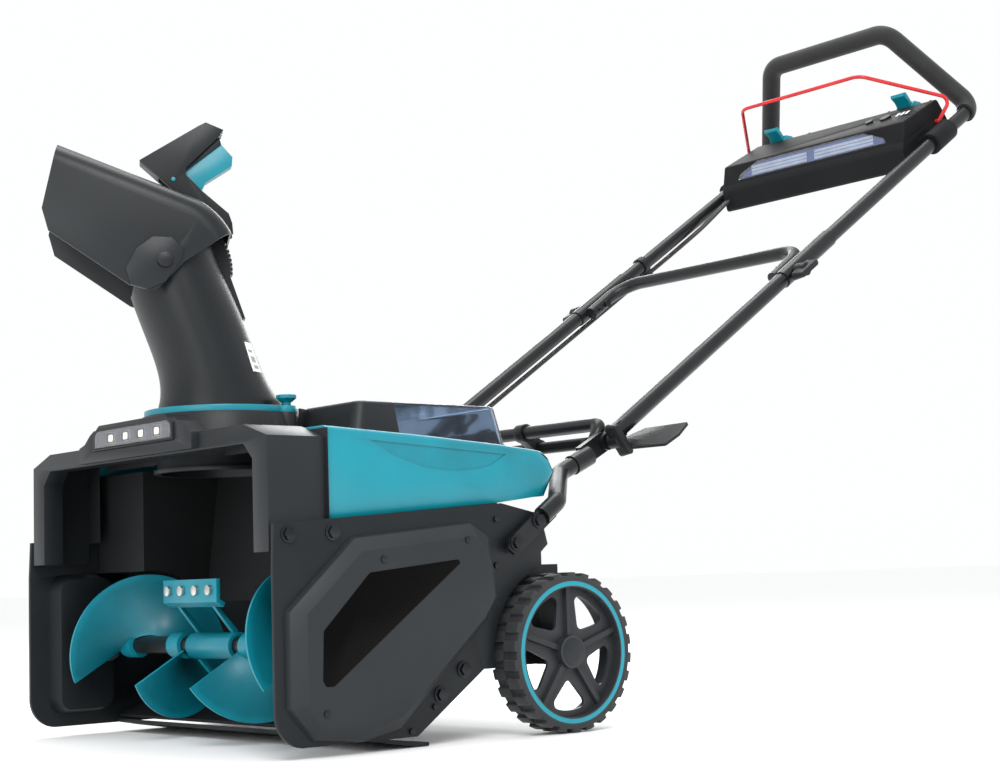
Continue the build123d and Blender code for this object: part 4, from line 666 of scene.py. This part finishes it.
def tube_mesh(name, path, radius, sides=14):
    """A closed round tube along a path."""
    vertices, faces = [], []
    aside = (path[1] - path[0]).orthogonal().normalized()
    for i, point in enumerate(path):
        along = (path[min(i + 1, len(path) - 1)] - path[max(i - 1, 0)]).normalized()
        aside = (aside - along * aside.dot(along)).normalized()
        third = along.cross(aside)
        for k in range(sides):
            turn = 2 * math.pi * k / sides
            vertices.append(point + (aside * math.cos(turn) + third * math.sin(turn)) * radius)
    for i in range(len(path) - 1):
        for k in range(sides):
            a, b = i * sides + k, i * sides + (k + 1) % sides
            faces.append((a, b, b + sides, a + sides))
    faces.append(tuple(range(sides - 1, -1, -1)))
    faces.append(tuple(range(len(vertices) - sides, len(vertices))))
    mesh = bpy.data.meshes.new(name)
    mesh.from_pydata(vertices, [], faces)
    smooth_by_angle(mesh, math.radians(50))
    return mesh


CABLE_RADIUS = 0.0026
CABLE_SHIFT = 3.1  # half the distance between the two cables, in millimetres
for side, shift in (("a", -CABLE_SHIFT), ("b", CABLE_SHIFT)):
    name = f"control_cable_{side}"
    route = [
        on_handle(-180 + shift, 836, 2),
        on_handle(-181 + shift, 806, -1),
        on_handle(-196 + shift, 764, -11),
        on_handle(-213.5 + shift, 700, -18.5),
        on_handle(-213.5 + shift, 110, -18.5),
        on_handle(-203 + shift, 62, -17.5),
        on_handle(-176 + shift, 14, -16),
        station(-164 + shift, 505, 326),
        station(-163 + shift, 462, 320),
        station(-163 + shift, 421, 321),
    ]
    cable = bpy.data.objects.new(name, tube_mesh(name, fillet_route(route), CABLE_RADIUS))
    bpy.context.scene.collection.objects.link(cable)
    dress(cable, M["cable"])
    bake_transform(cable, "chassis", "handle", station(-164, 478, 320), on_handle(-200, 62, -17))
    if side == "a":
        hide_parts("control_cables")
    grommet = [
        (-0.002, 0.0028), (-0.002, 0.0052), (0.004, 0.0050), (0.010, 0.0038), (0.014, 0.0030),
        (0.014, 0.0028),
    ]  # along the cable, and radius
    start = station(-163 + shift, 424, 321)
    along = station(-163 + shift, 462, 320) - start
    lathe(f"cable_grommet_{side}", grommet, start, along, M["cable"], "chassis", 40)

# ---------------------------------------------------------------- batteries seen through the lid
TRIM_Z = 332  # where the trims stand
BATTERY_TRIMS = (  # name, low y, high y, height and material
    ("latch", 236, 262, 17, "battery_white"),
    ("band", 276, 366, 13, "battery_teal"),
)
for side, sign in (("left", 1), ("right", -1)):
    for part, y0, y1, height, material in BATTERY_TRIMS:
        outline = ((136, y0), (152, y0), (152, y1), (136, y1))
        base = [station(sign * x, y, TRIM_Z) for x, y in outline]
        slab(f"battery_{part}_{side}", base, (0, 0, 1), height * MM, M[material], "chassis", 0.001, 0.004)

# ---------------------------------------------------------------- hood: side caps, trigger pins and slot
HOOD_SIDE = 83.4  # where the caps start, across from the hood's middle
cap_outline = [  # back from the chute's axis, and z
    (-112, 554), (-106, 535), (-86, 529), (-66, 538), (-46, 566), (-44, 578), (-58, 591), (-80, 592),
    (-99, 578),
]
pin_profile = [(-0.002, 0.0001), (0.0006, 0.0001), (0.0004, 0.0024), (-0.002, 0.0026)]
for side, sign in (("left", 1), ("right", -1)):
    outward = on_chute(0, 0, sign) - on_chute(0, 0, 0)
    corners = [on_chute(back, z, sign * HOOD_SIDE) for back, z in cap_outline]
    cap = slab(f"hood_cap_{side}", corners, outward, 0.0036, M["chute_plastic"], "hood", 0.0008)
    if sign > 0:
        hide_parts("hood_caps")
    pin = on_chute(-54, 676, sign * 17)
    lathe(f"trigger_pin_{side}", pin_profile, pin, outward, M["teal_plastic"], "hood", 32)
slot = [on_chute(back, z, -11) for back, z in ((-39, 692), (2, 730), (4.5, 721.5), (-42, 685))]
across = on_chute(0, 0, 1) - on_chute(0, 0, 0)
slab("trigger_slot", slot, across, 0.022, M["chute_plastic"], "hood", 0.0003)


# ---------------------------------------------------------------- stage, light and camera
def area_light(name, place, target, size, power):
    """A white light panel at place, turned to target. Size in metres, power in watts."""
    data = bpy.data.lights.new(name, "AREA")
    data.shape = "RECTANGLE"
    data.size, data.size_y = size
    data.energy = power
    lamp = bpy.data.objects.new(name, data)
    bpy.context.scene.collection.objects.link(lamp)
    lamp.location = place
    lamp.rotation_euler = (Vector(target) - Vector(place)).to_track_quat("-Z", "Y").to_euler()


floor_material, floor_tree, floor_shader, floor_coords = base_material("floor")
speck = noise(floor_tree, floor_coords, 3.0, 3.0)
pale = colour_mix(floor_tree, speck, (0.955, 0.955, 0.955, 1), (0.97, 0.97, 0.97, 1))
floor_tree.links.new(pale, floor_shader.inputs["Base Color"])
floor_shader.inputs["Roughness"].default_value = 0.9
floor_shader.inputs["Specular IOR Level"].default_value = 0.1
floor_mesh = bpy.data.meshes.new("floor")
REACH = 200.0  # the floor runs this far each way, past where the low camera sees its end
floor_corners = [(-REACH, -REACH, 0), (REACH, -REACH, 0), (REACH, REACH, 0), (-REACH, REACH, 0)]
floor_mesh.from_pydata(floor_corners, [], [(0, 1, 2, 3)])
floor = bpy.data.objects.new("floor", floor_mesh)
bpy.context.scene.collection.objects.link(floor)
floor.location.z = -0.5 * MM  # just under the tyres and the side plates
dress(floor, floor_material)
floor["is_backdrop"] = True

bpy.context.scene.view_settings.view_transform = "Standard"
world = bpy.data.worlds.new("studio")
bpy.context.scene.world = world
world.use_nodes = True
world.node_tree.nodes["Background"].inputs["Color"].default_value = (0.99, 0.995, 1.0, 1)
world.node_tree.nodes["Background"].inputs["Strength"].default_value = 1.0
area_light("key", (2.6, -2.2, 3.0), (0, 0, 0.4), (2.0, 2.0), 95)
area_light("top", (-0.6, 0.2, 3.6), (0, 0.1, 0.3), (2.6, 1.6), 60)
area_light("rim", (-2.6, 2.4, 2.2), (0, 0.1, 0.5), (2.0, 2.0), 55)
area_light("low_front", (1.2, -3.2, 0.9), (0, -0.4, 0.3), (1.6, 1.0), 16)

# the camera stands low, ahead of the machine and to its left
EYE = Vector((1.8683, FRONT_Y - 1.0496, 0.179))
YAW, PITCH, ROLL = 0.859, 0.107, -0.033  # radians
LENS = 64.96  # millimetres, on a sensor 36 mm wide
view = Vector((-math.sin(YAW) * math.cos(PITCH), math.cos(YAW) * math.cos(PITCH), math.sin(PITCH)))
level = Vector((math.cos(YAW), math.sin(YAW), 0))
upright = level.cross(view)
right = level * math.cos(ROLL) + upright * math.sin(ROLL)
up = upright * math.cos(ROLL) - level * math.sin(ROLL)
camera_data = bpy.data.cameras.new("camera")
camera_data.lens = LENS
camera_data.sensor_width = 36.0
camera = bpy.data.objects.new("camera", camera_data)
bpy.context.scene.collection.objects.link(camera)
camera.matrix_world = Matrix((
    (right.x, up.x, -view.x, EYE.x),
    (right.y, up.y, -view.y, EYE.y),
    (right.z, up.z, -view.z, EYE.z),
    (0, 0, 0, 1),
))
bpy.context.scene.camera = camera

low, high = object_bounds()
